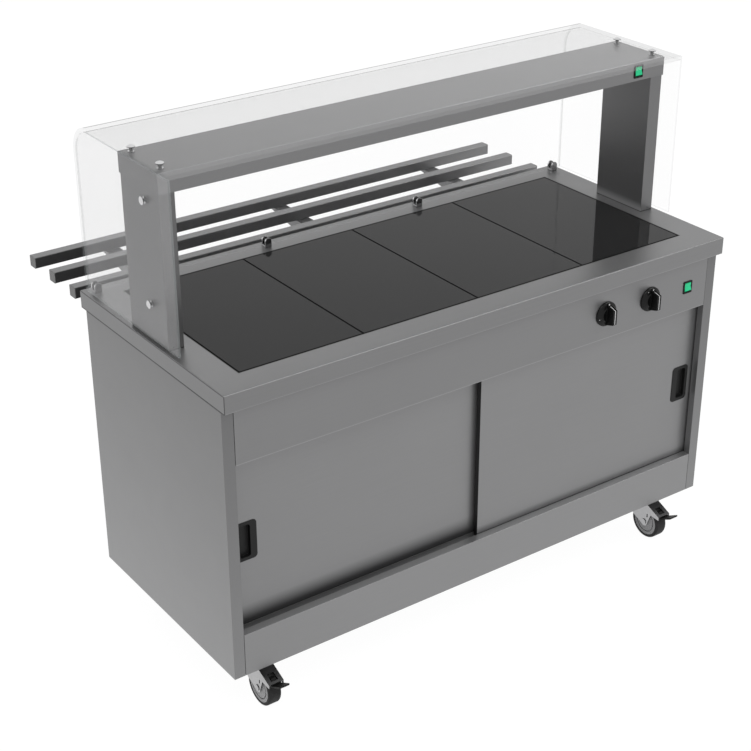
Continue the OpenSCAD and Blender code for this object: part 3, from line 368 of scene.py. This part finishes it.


# Clear guard panes: nearly unseen sheet, greenish ground edges, and painted reflection as grey lines where
# the bend starts and ends
paneGlass = {
    "ior": 1.45, "rough": 0.03, "gloss": 0.4,
    "tone": 0.62,            # haze on the upright sheet
    "topTone": 0.34,         # painted reflection on the flat top of the bent pane
    "bendTone": 0.1,
    "edgeTone": (0.24, 0.27, 0.27),
    "edgeFrom": 0.8,         # share of facing from which a face is a ground edge
    "edgeAlpha": 0.10, "topEdgeAlpha": 0.3, "bendAlpha": 0.75,
    "wipe": 0.008, "wipeScale": 4,
    "flat": (0.990, 0.999),  # share of facing up where the bend has become the flat top
    "upperLine": (0.988, 0.006, 0.010),      # facing up at the line, and the distances over which it fades
    "lowerLine": (0.84, 0.05, 0.09), "lowerShare": 0.7,
}


def clearPane(name, edges, haze, topHaze=0.0, leftHaze=0.0):
    # edges: the axes along which the ground edges face; a bent pane's flat top and the left end pane get
    # more haze as painted reflection
    s = paneGlass
    m = Finish(name, IOR=s["ior"], Roughness=s["rough"], Specular_IOR_Level=s["gloss"])
    wipe = m.noise(s["wipeScale"], detail=3)
    edge = None
    for letter in edges:
        ground = abs(m.facing(letter)) > s["edgeFrom"]
        edge = ground if edge is None else edge.atLeast(ground)
    alpha = edge * s["edgeAlpha"] + haze + swing(wipe, s["wipe"])
    colour = m.blend(edge, shade(s["tone"]), s["edgeTone"])
    # painted reflection: the left end pane shows more haze
    if leftHaze:
        alpha = alpha + (m.axis("X") < 0) * leftHaze
    if topHaze:
        rise = m.facing("Z")
        flat = m.range(rise, *s["flat"], 0, 1)
        upperAt, upperNear, upperFar = s["upperLine"]
        lowerAt, lowerNear, lowerFar = s["lowerLine"]
        upper = m.range(abs(rise - upperAt), upperNear, upperFar, 1, 0)
        lower = m.range(abs(rise - lowerAt), lowerNear, lowerFar, s["lowerShare"], 0)
        # painted reflection: grey lines where the bend starts and ends
        bend = upper.atLeast(lower)
        alpha = alpha + flat * topHaze + bend * s["bendAlpha"] + edge * flat * s["topEdgeAlpha"]
        colour = m.blend(bend, m.blend(flat, colour, shade(s["topTone"])), shade(s["bendTone"]))
    m.feed("Base Color", colour)
    m.feed("Alpha", alpha)
    m.material.surface_render_method = "DITHERED"
    return m.material


# Moulded plastic and painted marks
plasticSkin = {
    "ior": 1.46,
    "rub": (0.8, 1.25),      # gain of the least and the most rubbed places
    "rubScale": 25, "rubBreak": 0.6, "roughRub": 0.14,
    "grainScale": 900, "grainBump": 0.3,
}


def mouldedPlastic(name, tone, rough, depth=0.00005, tint=(1, 1, 1), gloss=0.5):
    s = plasticSkin
    m = Finish(name, IOR=s["ior"], Specular_IOR_Level=gloss)
    grain = m.noise(s["grainScale"], detail=2)
    rub = m.noise(s["rubScale"], detail=4, rough=s["rubBreak"])
    low, high = (tuple(tone * gain * t for t in tint) for gain in s["rub"])
    m.feed("Base Color", m.blend(rub, low, high))
    m.feed("Roughness", rough + swing(rub, s["roughRub"]))
    m.bump(grain, s["grainBump"], depth)
    return m.material


# Rubber tread with floor dust in places
tread = {
    "ior": 1.5, "gloss": 0.25,
    "clean": 0.010, "dusty": 0.045,
    "dust": (0.45, 0.75), "dustMost": 0.35, "dustScale": 70, "dustBreak": 0.6,
    "rough": 0.62, "roughDust": 0.2,
    "gritScale": 800, "gritBump": 0.35, "gritDepth": 0.00008,
}


def tyreRubber(name):
    s = tread
    m = Finish(name, IOR=s["ior"], Specular_IOR_Level=s["gloss"])
    dust = m.noise(s["dustScale"], detail=4, rough=s["dustBreak"])
    grit = m.noise(s["gritScale"], detail=2)
    dusty = m.range(dust, *s["dust"], 0, s["dustMost"])
    m.feed("Base Color", m.blend(dusty, shade(s["clean"]), shade(s["dusty"])))
    m.feed("Roughness", s["rough"] + swing(dust, s["roughDust"]))
    m.bump(grit, s["gritBump"], s["gritDepth"])
    return m.material


# Green rockers, lit from inside and a little uneven
lens = {
    "ior": 1.49, "coat": 0.1, "rough": 0.25, "gloss": 0.25,
    "unevenScale": 90,
    "colour": ((0.004, 0.27, 0.11), (0.012, 0.42, 0.19)),
    "glow": ((0.004, 0.36, 0.145), (0.02, 0.58, 0.265)),
}


def litLens(name, strength):
    s = lens
    m = Finish(name, IOR=s["ior"], Roughness=s["rough"], Specular_IOR_Level=s["gloss"])
    m.feed("Coat Weight", s["coat"])
    uneven = m.noise(s["unevenScale"], detail=2)
    m.feed("Base Color", m.blend(uneven, *s["colour"]))
    m.feed("Emission Color", m.blend(uneven, *s["glow"]))
    m.feed("Emission Strength", strength)
    return m.material


# Frosted quartz of the heat lamps
quartz = {
    "ior": 1.45, "alpha": 0.85,
    "frostScale": 200,
    "colour": ((0.75, 0.72, 0.66), (0.88, 0.86, 0.80)),
    "rough": 0.2, "roughFrost": 0.2,
}


def quartzTube(name):
    s = quartz
    m = Finish(name, IOR=s["ior"], Alpha=s["alpha"])
    frost = m.noise(s["frostScale"], detail=2)
    m.feed("Base Color", m.blend(frost, *s["colour"]))
    m.feed("Roughness", s["rough"] + frost * s["roughFrost"])
    return m.material


topLow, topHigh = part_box("worktop")
hobLow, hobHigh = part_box("hob_seal")
postLow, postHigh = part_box("gantry_posts")
beamLow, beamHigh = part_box("gantry_beam")
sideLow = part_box("side_panel_left")[0]
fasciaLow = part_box("control_fascia")[0]
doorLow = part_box("door_left")[0]
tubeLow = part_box("tray_rails")[0]

# Painted highlights and painted shadow lines along folds, seams, corners and feet, and the seal's smear
# beside the hob: their widths in metres, and how far a limit reaches past an edge
lines = {
    "past": 0.001,           # past the edge or face on which a line lies
    "under": 0.01,           # past a face that another piece covers
    "fold": 0.002,           # painted highlight along a lower fold
    "lipFoot": 0.0028,       # painted shadow line where the worktop's lip stands out over the side
    "lipHead": 0.0024,       # painted shade line along the top of the left lip
    "rim": 0.0012,           # painted highlight along an upper front edge
    "corner": 0.0022,        # painted shade line at a corner or a foot
    "smear": 0.0024,         # black seal on the steel beside the hob
}


def about(place, reach):
    return (place - reach, place + reach)


past, corner, smear = lines["past"], lines["corner"], lines["smear"]
skin = (topHigh.z - lines["rim"], topHigh.z + past)          # heights of the worktop's upper face
lipFoot = (topLow.z - past, topLow.z + lines["lipFoot"])
lipHead = (topHigh.z - lines["lipHead"], topHigh.z)
rim = (topLow.y - past, topLow.y + lines["rim"])
hobLength, hobDepth = (hobLow.x - smear, hobHigh.x + smear), (hobLow.y, hobHigh.y)
sealGain = 0.03
sealMarks = [(sealGain, {"Z": skin, "Y": about(y, smear), "X": hobLength}) for y in (hobLow.y, hobHigh.y)]
sealMarks += [(sealGain, {"Z": skin, "X": about(x, smear), "Y": hobDepth}) for x in (hobLow.x, hobHigh.x)]
# The satin sheets are all one steel: each one's tone, lighter or darker than the rest, is painted light and
# shade
worktopFades = {"rimLit": 0.3, "rimDark": -0.4, "depth": 0.1}    # where along X or Y the painted light and shade start
# Painted light and shade on the worktop: highlights on the lip's lower fold and the top front edge, shadow
# lines under and along the left lip and at the front left corner, and faces and fades made lighter or
# darker; the black smears beside the hob are the seal's own colour
worktopSheet = satinSteel("worktopSheet", "x", tone=1.05, paintedLightAndSmears=[
    (1.25, {"facing": "front", "Z": (topLow.z - past, topLow.z + lines["fold"])}),
    (0.08, {"facing": "left", "Z": lipFoot}),
    *sealMarks,
    (0.98, {"facing": "top"}),
    (1.14, {"facing": "top", "fade": ("X", topHigh.x, topLow.x)}),
    (0.85, {"facing": "top", "fade": ("Y", topLow.y + worktopFades["depth"], topHigh.y)}),
    (0.93, {"facing": "left"}),
    (0.96, {"facing": "front", "fade": ("X", topHigh.x, topLow.x)}),
    (0.30, {"facing": "left", "Z": lipHead}),
    (1.35, {"Y": rim, "Z": skin, "fade": ("X", worktopFades["rimLit"], topLow.x)}),
    (0.50, {"Y": rim, "Z": skin, "fade": ("X", worktopFades["rimDark"], topHigh.x)}),
    (0.35, {"facing": "front", "X": (topLow.x, topLow.x + corner)}),
])
# Painted shade on the sides: darker towards the lip, a shadow line under it, and darker front faces
sideSheet = satinSteel("sideSheet", "y", tone=1.35, paintedLightAndSmears=[
    (0.69, {"fade": ("Z", sideLow.z, topLow.z)}),
    (0.22, {"Z": (topLow.z - lines["lipFoot"], topLow.z + lines["under"])}),
    (0.87, {"facing": "front"}),
])
backSheet = satinSteel("backSheet", "x")
# painted light: the rail's top face is lighter
railSheet = satinSteel("railSheet", "x", tone=1.27, paintedLightAndSmears=[(1.35, {"facing": "top"})])
trackSheet = satinSteel("trackSheet", "x", tone=1.1)
# Painted light and shade on the fascia: a highlight along its lower fold and a shadow line under the
# worktop's lip
fasciaSheet = satinSteel("fasciaSheet", "x", tone=1.07, paintedLightAndSmears=[
    (1.3, {"Z": (fasciaLow.z - past, fasciaLow.z + lines["fold"])}),
    (0.5, {"Z": (topLow.z - lines["fold"], topLow.z + lines["under"])}),
])

doorFoot = {"clear": 0.004, "backShade": 0.06, "frontShade": 0.03}    # heights above a door's lower edge for its painted shade


def doorSheet(name, shadeHeight, footShadeGain, endShadeGain):
    # painted shade: doors darken towards the track and at their left ends
    foot = ("Z", doorLow.z + shadeHeight, doorLow.z + doorFoot["clear"])
    return satinSteel(name, "x", tone=1.18, rough=0.02, paintedLightAndSmears=[
        (footShadeGain, {"fade": foot}),
        (endShadeGain, {"facing": "left"}),
    ])


# the two doors are one steel and differ only in their painted shade
backDoorSheet = doorSheet("backDoorSheet", doorFoot["backShade"], 0.2, 0.2)
frontDoorSheet = doorSheet("frontDoorSheet", doorFoot["frontShade"], 0.35, 0.15)

# Posts: the left one shows its outer face, and the right one its inner face, which the worktop lights; both
# carry painted light and shade
postParts = {
    "outer": about(postLow.x, lines["under"]),     # the left post's outer face
    "front": (postLow.x - lines["under"], 0),      # the left post's front
    "right": (0.5, postHigh.x),                    # the whole right post
    "middle": 1.1,           # height at which the painted light and shade fades start
    "footLow": 0.002, "footHigh": 0.026,     # painted light at the right post's foot, above its lower end
}
outer, right, middle = postParts["outer"], postParts["right"], postParts["middle"]
litFoot = ("Z", postLow.z + postParts["footHigh"], postLow.z + postParts["footLow"])
# Painted light and shade on the posts: a shadow line at their feet, darker fronts and outer faces that
# lighten lower down, and on the right post a painted pool of light at its foot that darkens higher up
postSheet = satinSteel("postSheet", "z", tone=0.84, paintedLightAndSmears=[
    (0.30, {"Z": (postLow.z - past, topHigh.z + corner)}),
    (0.77, {"facing": "front", "X": postParts["front"]}),
    (0.66, {"facing": "left", "X": outer}),
    (1.24, {"facing": "left", "X": outer, "fade": ("Z", middle, postLow.z)}),
    (2.3, {"facing": "left", "X": right, "fade": litFoot}),
    (0.74, {"facing": "left", "X": right, "fade": ("Z", middle, postHigh.z)}),
])
# Painted light and shade on the beam: a lighter top that darkens to the left, a highlight along its top
# front edge, a darker end and a shadow line at the end's top
beamRim = {"Z": (beamHigh.z - lines["rim"], beamHigh.z + past), "Y": (beamLow.y - past, beamLow.y + corner)}
beamSheet = satinSteel("beamSheet", "x", tone=0.95, paintedLightAndSmears=[
    (1.20, {"facing": "top"}),
    (0.46, {"facing": "top", "fade": ("X", beamHigh.x, beamLow.x)}),
    (1.35, beamRim),
    (0.64, {"facing": "left"}),
    (0.35, {"facing": "left", "Z": (beamHigh.z - corner, beamHigh.z)}),
])
tubeShade = {"from": 0.6, "clear": 0.15}     # painted shade: the rails' fronts darken along X, up to a place near their left ends
tubeSheet = satinSteel("tubeSheet", "x", paintedLightAndSmears=[
    (0.38, {"facing": "front", "fade": ("X", tubeShade["from"], tubeLow.x + tubeShade["clear"])}),
])
bracketSheet = satinSteel("bracketSheet", "y", tone=0.9)
innerSheet = satinSteel("innerSheet", "x", tone=0.9, rough=0.08)
rawSteel = plainSteel("rolledSteel", tone=0.22, rough=0.42)
brightZinc = plainSteel("brightZinc", tone=0.42, rough=0.3)
# painted shade: the forks' front and top faces are darkened for the dark counter above them
forkZinc = plainSteel("forkZinc", tone=0.44, rough=0.34, shadeOf={"front": 0.30, "top": 0.30})
boltFoot = 0.002         # below the beam's top, where the standing bolts start
# painted shade: the bolts' and clips' flanks are darkened
boltTrim = chromePlate("boltTrim", tone=0.62, rough=0.2, dark=0.12, crown=beamHigh.z - boltFoot)
clipTrim = chromePlate("clipTrim", tone=0.62, rough=0.16, dark=0.25)
reflectorSheet = chromePlate("reflectorSheet", tone=0.7, rough=0.22)
hobTiles = 4
tilePitch = (hobHigh.x - hobLow.x) / hobTiles
tileJoints = [tilePitch * (count - hobTiles / 2) for count in range(1, hobTiles)]
blackGlass = hobGlass("blackHobGlass", tileJoints)
guardPane = clearPane("guardPane", "X", haze=0.03, topHaze=0.17)
endPane = clearPane("endPane", "YZ", haze=0.028, leftHaze=0.115)
pullPlastic = mouldedPlastic("pullPlastic", tone=0.006, rough=0.5, gloss=0.3)
knobPlastic = mouldedPlastic("knobPlastic", tone=0.004, rough=0.24, depth=0.00002, gloss=0.2)
trimPlastic = mouldedPlastic("trimPlastic", tone=0.005, rough=0.5, gloss=0.2)
capPlastic = mouldedPlastic("capPlastic", tone=0.15, rough=0.5, gloss=0.4)
hubPlastic = mouldedPlastic("hubPlastic", tone=0.28, rough=0.42, tint=(1, 1, 1.01))
nylonBlock = mouldedPlastic("nylonBlock", tone=0.62, rough=0.5, tint=(1, 1, 0.96))
unitPlastic = mouldedPlastic("unitPlastic", tone=0.55, rough=0.55, tint=(1, 0.98, 0.92))
beadRubber = mouldedPlastic("beadRubber", tone=0.002, rough=0.7, gloss=0.03)
treadRubber = tyreRubber("treadRubber")
greenLens = litLens("greenLens", strength=0.42)
gantryLens = litLens("gantryLens", strength=0.34)
lampQuartz = quartzTube("lampQuartz")
print("finishes made")

wearers = [
    (worktopSheet, "worktop"),
    (sideSheet, "side_panel_left", "side_panel_right"),
    (backSheet, "back_panel"),
    (railSheet, "bottom_rail"),
    (trackSheet, "bottom_track"),
    (fasciaSheet, "control_fascia"),
    (backDoorSheet, "door_left"),
    (frontDoorSheet, "door_right"),
    (postSheet, "gantry_posts"),
    (beamSheet, "gantry_beam"),
    (tubeSheet, "tray_rails"),
    (bracketSheet, "rail_brackets"),
    (innerSheet, "cupboard_lining", "cupboard_ceiling", "cupboard_floor", "cupboard_shelf", "top_track"),
    (rawSteel, "hob_tray", "base_pan", "heating_element"),
    (brightZinc, "spindle_left", "spindle_right", "castor_plates"),
    (boltTrim, "glass_bolts"),
    (clipTrim, "glass_clips"),
    (reflectorSheet, "lamp_reflector"),
    (lampQuartz, "heat_lamps"),
    (blackGlass, "hob_tiles"),
    (guardPane, "guard_glass"),
    (endPane, "end_glasses"),
    (beadRubber, "hob_seal", "hob_heaters"),
    (pullPlastic, "handle_left", "handle_right"),
    (knobPlastic, "knob_left", "knob_right"),
    (trimPlastic, "switch_bezels", "cable_gland"),
    (capPlastic, "rail_caps"),
    (nylonBlock, "glides_left", "glides_right"),
    (unitPlastic, "hob_regulator", "thermostat"),
    (greenLens, "rocker_fascia"),
    (gantryLens, "rocker_gantry"),
]
finishOf = {name: finish for finish, *names in wearers for name in names}
castors, braked = (1, 2, 3, 4), (1, 2)
for number in castors:
    finishOf[f"castor_fork_{number}"] = forkZinc
    finishOf[f"castor_hub_{number}"] = hubPlastic
    finishOf[f"castor_tyre_{number}"] = treadRubber
for number in braked:
    finishOf[f"brake_pedal_{number}"] = trimPlastic

# Fold and edge radii in metres: sheets get a fine fold, mouldings a softer one
foldOf = {
    "worktop": 0.0008, "side_panel_left": 0.0012, "side_panel_right": 0.0012, "bottom_rail": 0.0012,
    "control_fascia": 0.0012, "door_left": 0.0016, "door_right": 0.0016, "gantry_posts": 0.0022,
    "gantry_beam": 0.0010, "rail_brackets": 0.0010, "handle_left": 0.0012, "handle_right": 0.0012,
    "knob_left": 0.0014, "knob_right": 0.0014, "switch_bezels": 0.0007, "rocker_fascia": 0.0008,
    "rocker_gantry": 0.0008, "glass_clips": 0.0012, "rail_caps": 0.0008, "cable_gland": 0.0012,
    "guard_glass": 0.0010, "end_glasses": 0.0008,
}
folding = {
    "weld": 0.00001,         # metres within which corners are one
    "flat": 0.4,             # degrees up to which faces are one flat face
    "sharp": 40,             # degrees from which an edge is rounded
    "segments": 2,
    "evenness": 50,          # the middle of the weighted normals' scale
}


def dress(name, thing):
    thing.data.materials.clear()
    thing.data.materials.append(finishOf[name])
    if name in foldOf:
        weld = thing.modifiers.new("weld", "WELD")
        weld.merge_threshold = folding["weld"]
        flatten = thing.modifiers.new("flatten", "DECIMATE")
        flatten.decimate_type, flatten.angle_limit = "DISSOLVE", math.radians(folding["flat"])
        fold = thing.modifiers.new("fold", "BEVEL")
        fold.width, fold.segments = foldOf[name], folding["segments"]
        fold.limit_method, fold.angle_limit = "ANGLE", math.radians(folding["sharp"])
        even = thing.modifiers.new("even", "WEIGHTED_NORMAL")
        even.weight, even.keep_sharp = folding["evenness"], False


for name, thing in nodes.items():
    dress(name, thing)
print("nodes dressed")


# White marks on the control knobs: a line down the grip bar, a pip above it and ticks on the skirt
knobMarks = {
    "lineWidth": 0.0016,
    "lineIn": 0.0016,        # inset from the bar's lower end
    "lineFrom": 0.0145,      # distance from the fascia at which the line starts on the bar's slope
    "mitre": 0.6,            # lean of the line's section where it turns onto the bar's front
    "proud": 0.0002,
    "barBase": 0.028, "barTip": 0.0195,      # half lengths of the bar at skirt and front
    "barOut": 0.0332, "skirtOut": 0.0058,    # distances of bar and skirt from the fascia
    "pipRadius": 0.0021, "pipUp": 0.0285, "pipHigh": 0.004, "pipSides": 20,
    "pipSunk": 0.0006,       # depth of the peg's end in the skirt
    "pipFoot": 1.25, "pipHead": 1.1,         # the peg's radii as shares of the dome's
    "domeSunk": 0.0003, "domeRise": (0.0002, 0.0006, 0.0008), "domeShoulder": 0.7,
    "tickLong": 0.0042, "tickWide": 0.0018,
    "ticks": {               # degrees from the top, radius
        "left": ((-49, 0.0265), (-108, 0.0286)),
        "right": ((-29, 0.0282),),
    },
}
markPaint = mouldedPlastic("markPaint", tone=0.62, rough=0.45)
tickPaint = mouldedPlastic("tickPaint", tone=0.60, rough=0.5)


def newPiece(name, mesh, finishes, body):
    thing = bpy.data.objects.new(name, mesh)
    bpy.context.scene.collection.objects.link(thing)
    for finish in finishes:
        mesh.materials.append(finish)
    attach(thing, body)
    return thing


def turned(bm, middle, profile, material=0):
    # a solid of rings about an axis along Y; the profile gives (radius, y) and ends on the axis
    x, z = middle
    count = knobMarks["pipSides"]
    rings = []
    for radius, y in profile:
        steps = count if radius else 1
        rings.append([bm.verts.new((x + math.cos(t * math.tau / steps) * radius, y,
                                    z + math.sin(t * math.tau / steps) * radius)) for t in range(steps)])
    for first, second in zip(rings, rings[1:]):
        for i in range(count):
            corners = [first[i % len(first)], first[(i + 1) % len(first)],
                       second[(i + 1) % len(second)], second[i % len(second)]]
            face = bm.faces.new(list(dict.fromkeys(corners)))
            face.material_index = material


def gripLine(bm, k, middleX, middleZ, frontY, skirtY):
    # the line follows the bar's sloping top and then its front face
    share = (k["lineFrom"] - k["skirtOut"]) / (k["barOut"] - k["skirtOut"])
    path = [
        (skirtY + (frontY - skirtY) * share, k["barBase"] + (k["barTip"] - k["barBase"]) * share),
        (frontY, k["barTip"]),
        (frontY, -k["barTip"] + k["lineIn"]),
    ]
    slope = math.atan2(k["barBase"] - k["barTip"], k["barOut"] - k["skirtOut"])
    lifts = [(-math.sin(slope), math.cos(slope)), (-1, k["mitre"]), (-1, 0)]
    half = k["lineWidth"] / 2
    rings = []
    for (y, z), (liftY, liftZ) in zip(path, lifts):
        outer = (y + liftY * k["proud"], middleZ + z + liftZ * k["proud"])
        inner = (y - liftY * k["proud"], middleZ + z - liftZ * k["proud"])
        rings.append([bm.verts.new((middleX + way * half, *point)) for way, point in
                      ((-1, outer), (1, outer), (1, inner), (-1, inner))])
    for first, second in zip(rings, rings[1:]):
        for i in range(4):
            bm.faces.new((first[i], first[(i + 1) % 4], second[(i + 1) % 4], second[i]))
    bm.faces.new(rings[0][::-1])
    bm.faces.new(rings[-1])


def pip(bm, k, middle, skirtY):
    # a black peg with a white domed end
    radius, tip, foot = k["pipRadius"], skirtY - k["pipHigh"], skirtY + k["pipSunk"]
    peg = [(0, foot), (radius * k["pipFoot"], foot), (radius * k["pipHead"], tip), (0, tip)]
    turned(bm, middle, peg, material=1)
    edge, shoulder, crown = (tip - rise for rise in k["domeRise"])
    seat = tip + k["domeSunk"]
    dome = [(0, seat), (radius, seat), (radius, edge), (radius * k["domeShoulder"], shoulder), (0, crown)]
    turned(bm, middle, dome)


def tick(bm, k, middle, angle, radius):
    # a tick lies along the radius
    away = Vector((math.sin(math.radians(angle)), 0, math.cos(math.radians(angle))))
    across = Vector((away.z, 0, -away.x))
    centre = middle + away * (radius - k["tickLong"] / 2)
    for vert in bmesh.ops.create_cube(bm, size=1)["verts"]:
        vert.co = (centre + away * (vert.co.z * k["tickLong"]) + across * (vert.co.x * k["tickWide"])
                   + Vector((0, vert.co.y * k["proud"] * 2, 0)))
        for face in vert.link_faces:
            face.material_index = 2


def knobMark(side):
    k = knobMarks
    low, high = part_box(f"knob_{side}")
    middleX, middleZ = (low.x + high.x) / 2, (low.z + high.z) / 2
    frontY, skirtY = low.y, high.y - k["skirtOut"]
    bm = bmesh.new()
    gripLine(bm, k, middleX, middleZ, frontY, skirtY)
    pip(bm, k, (middleX, middleZ + k["pipUp"]), skirtY)
    for angle, radius in k["ticks"][side]:
        tick(bm, k, Vector((middleX, skirtY, middleZ)), angle, radius)
    bmesh.ops.recalc_face_normals(bm, faces=bm.faces)
    mesh = bpy.data.meshes.new(f"knobMark_{side}")
    bm.to_mesh(mesh)
    bm.free()
    return newPiece(f"knobMark_{side}", mesh, [markPaint, knobPlastic, tickPaint], f"knob_{side}")


for side in ("left", "right"):
    knobMark(side)
print("knob marks made")


# Floor, backdrop and light
studio = {
    "floorHalf": 14,         # metres
    "floorTone": 0.86, "floorCloud": 1.01, "cloudScale": 0.8, "floorRough": 0.9,
    "floorShown": 0.93,      # share of the floor that shows plain white; the rest keeps the shadow
    "floorGlow": 1.04,
    "world": 0.78,
    "aim": (0, 0, 0.7),      # the lamps point at the counter's middle
    "keyPlace": (-2.4, -4.2, 6.6), "keySize": 4.0, "keyPower": 150,
    "fillPlace": (4.2, -3.4, 4.6), "fillSize": 3.5, "fillPower": 90,
}
white = (1, 1, 1, 1)


def makeFloor(s):
    mesh = bpy.data.meshes.new("floor")
    half = s["floorHalf"]
    corners = [(-half, -half, 0), (half, -half, 0), (half, half, 0), (-half, half, 0)]
    mesh.from_pydata(corners, [], [(0, 1, 2, 3)])
    floor = bpy.data.objects.new("floor", mesh)
    bpy.context.scene.collection.objects.link(floor)
    m = Finish("floorFinish", Roughness=s["floorRough"])
    tones = shade(s["floorTone"]), shade(s["floorTone"] * s["floorCloud"])
    m.feed("Base Color", m.blend(m.noise(s["cloudScale"]), *tones))
    glow = m.add("Emission", {}, {"Color": white, "Strength": s["floorGlow"]})
    m.show(m.seen() * s["floorShown"], glow)
    mesh.materials.append(m.material)


def makeLamp(name, place, size, power):
    data = bpy.data.lights.new(name, "AREA")
    data.shape, data.size, data.energy = "DISK", size, power
    lamp = bpy.data.objects.new(name, data)
    bpy.context.scene.collection.objects.link(lamp)
    lamp.location = place
    lamp.rotation_mode = "QUATERNION"
    lamp.rotation_quaternion = (Vector(studio["aim"]) - Vector(place)).to_track_quat("-Z", "Y")


def makeWorld(s):
    world = bpy.data.worlds.new("studioWorld")
    bpy.context.scene.world = world
    sky = Shading(world)
    shown = sky.add("Background", {}, {"Color": white, "Strength": 1})
    lit = sky.add("Background", {}, {"Color": white, "Strength": s["world"]})
    mix = sky.add("MixShader", {}, {0: sky.seen(), 1: lit, 2: shown})
    sky.plug(sky.nodes["World Output"].inputs["Surface"], mix)


makeFloor(studio)
makeWorld(studio)
makeLamp("keyLamp", studio["keyPlace"], studio["keySize"], studio["keyPower"])
makeLamp("fillLamp", studio["fillPlace"], studio["fillSize"], studio["fillPower"])
bpy.context.scene.view_settings.view_transform = "Standard"
print("studio lit")
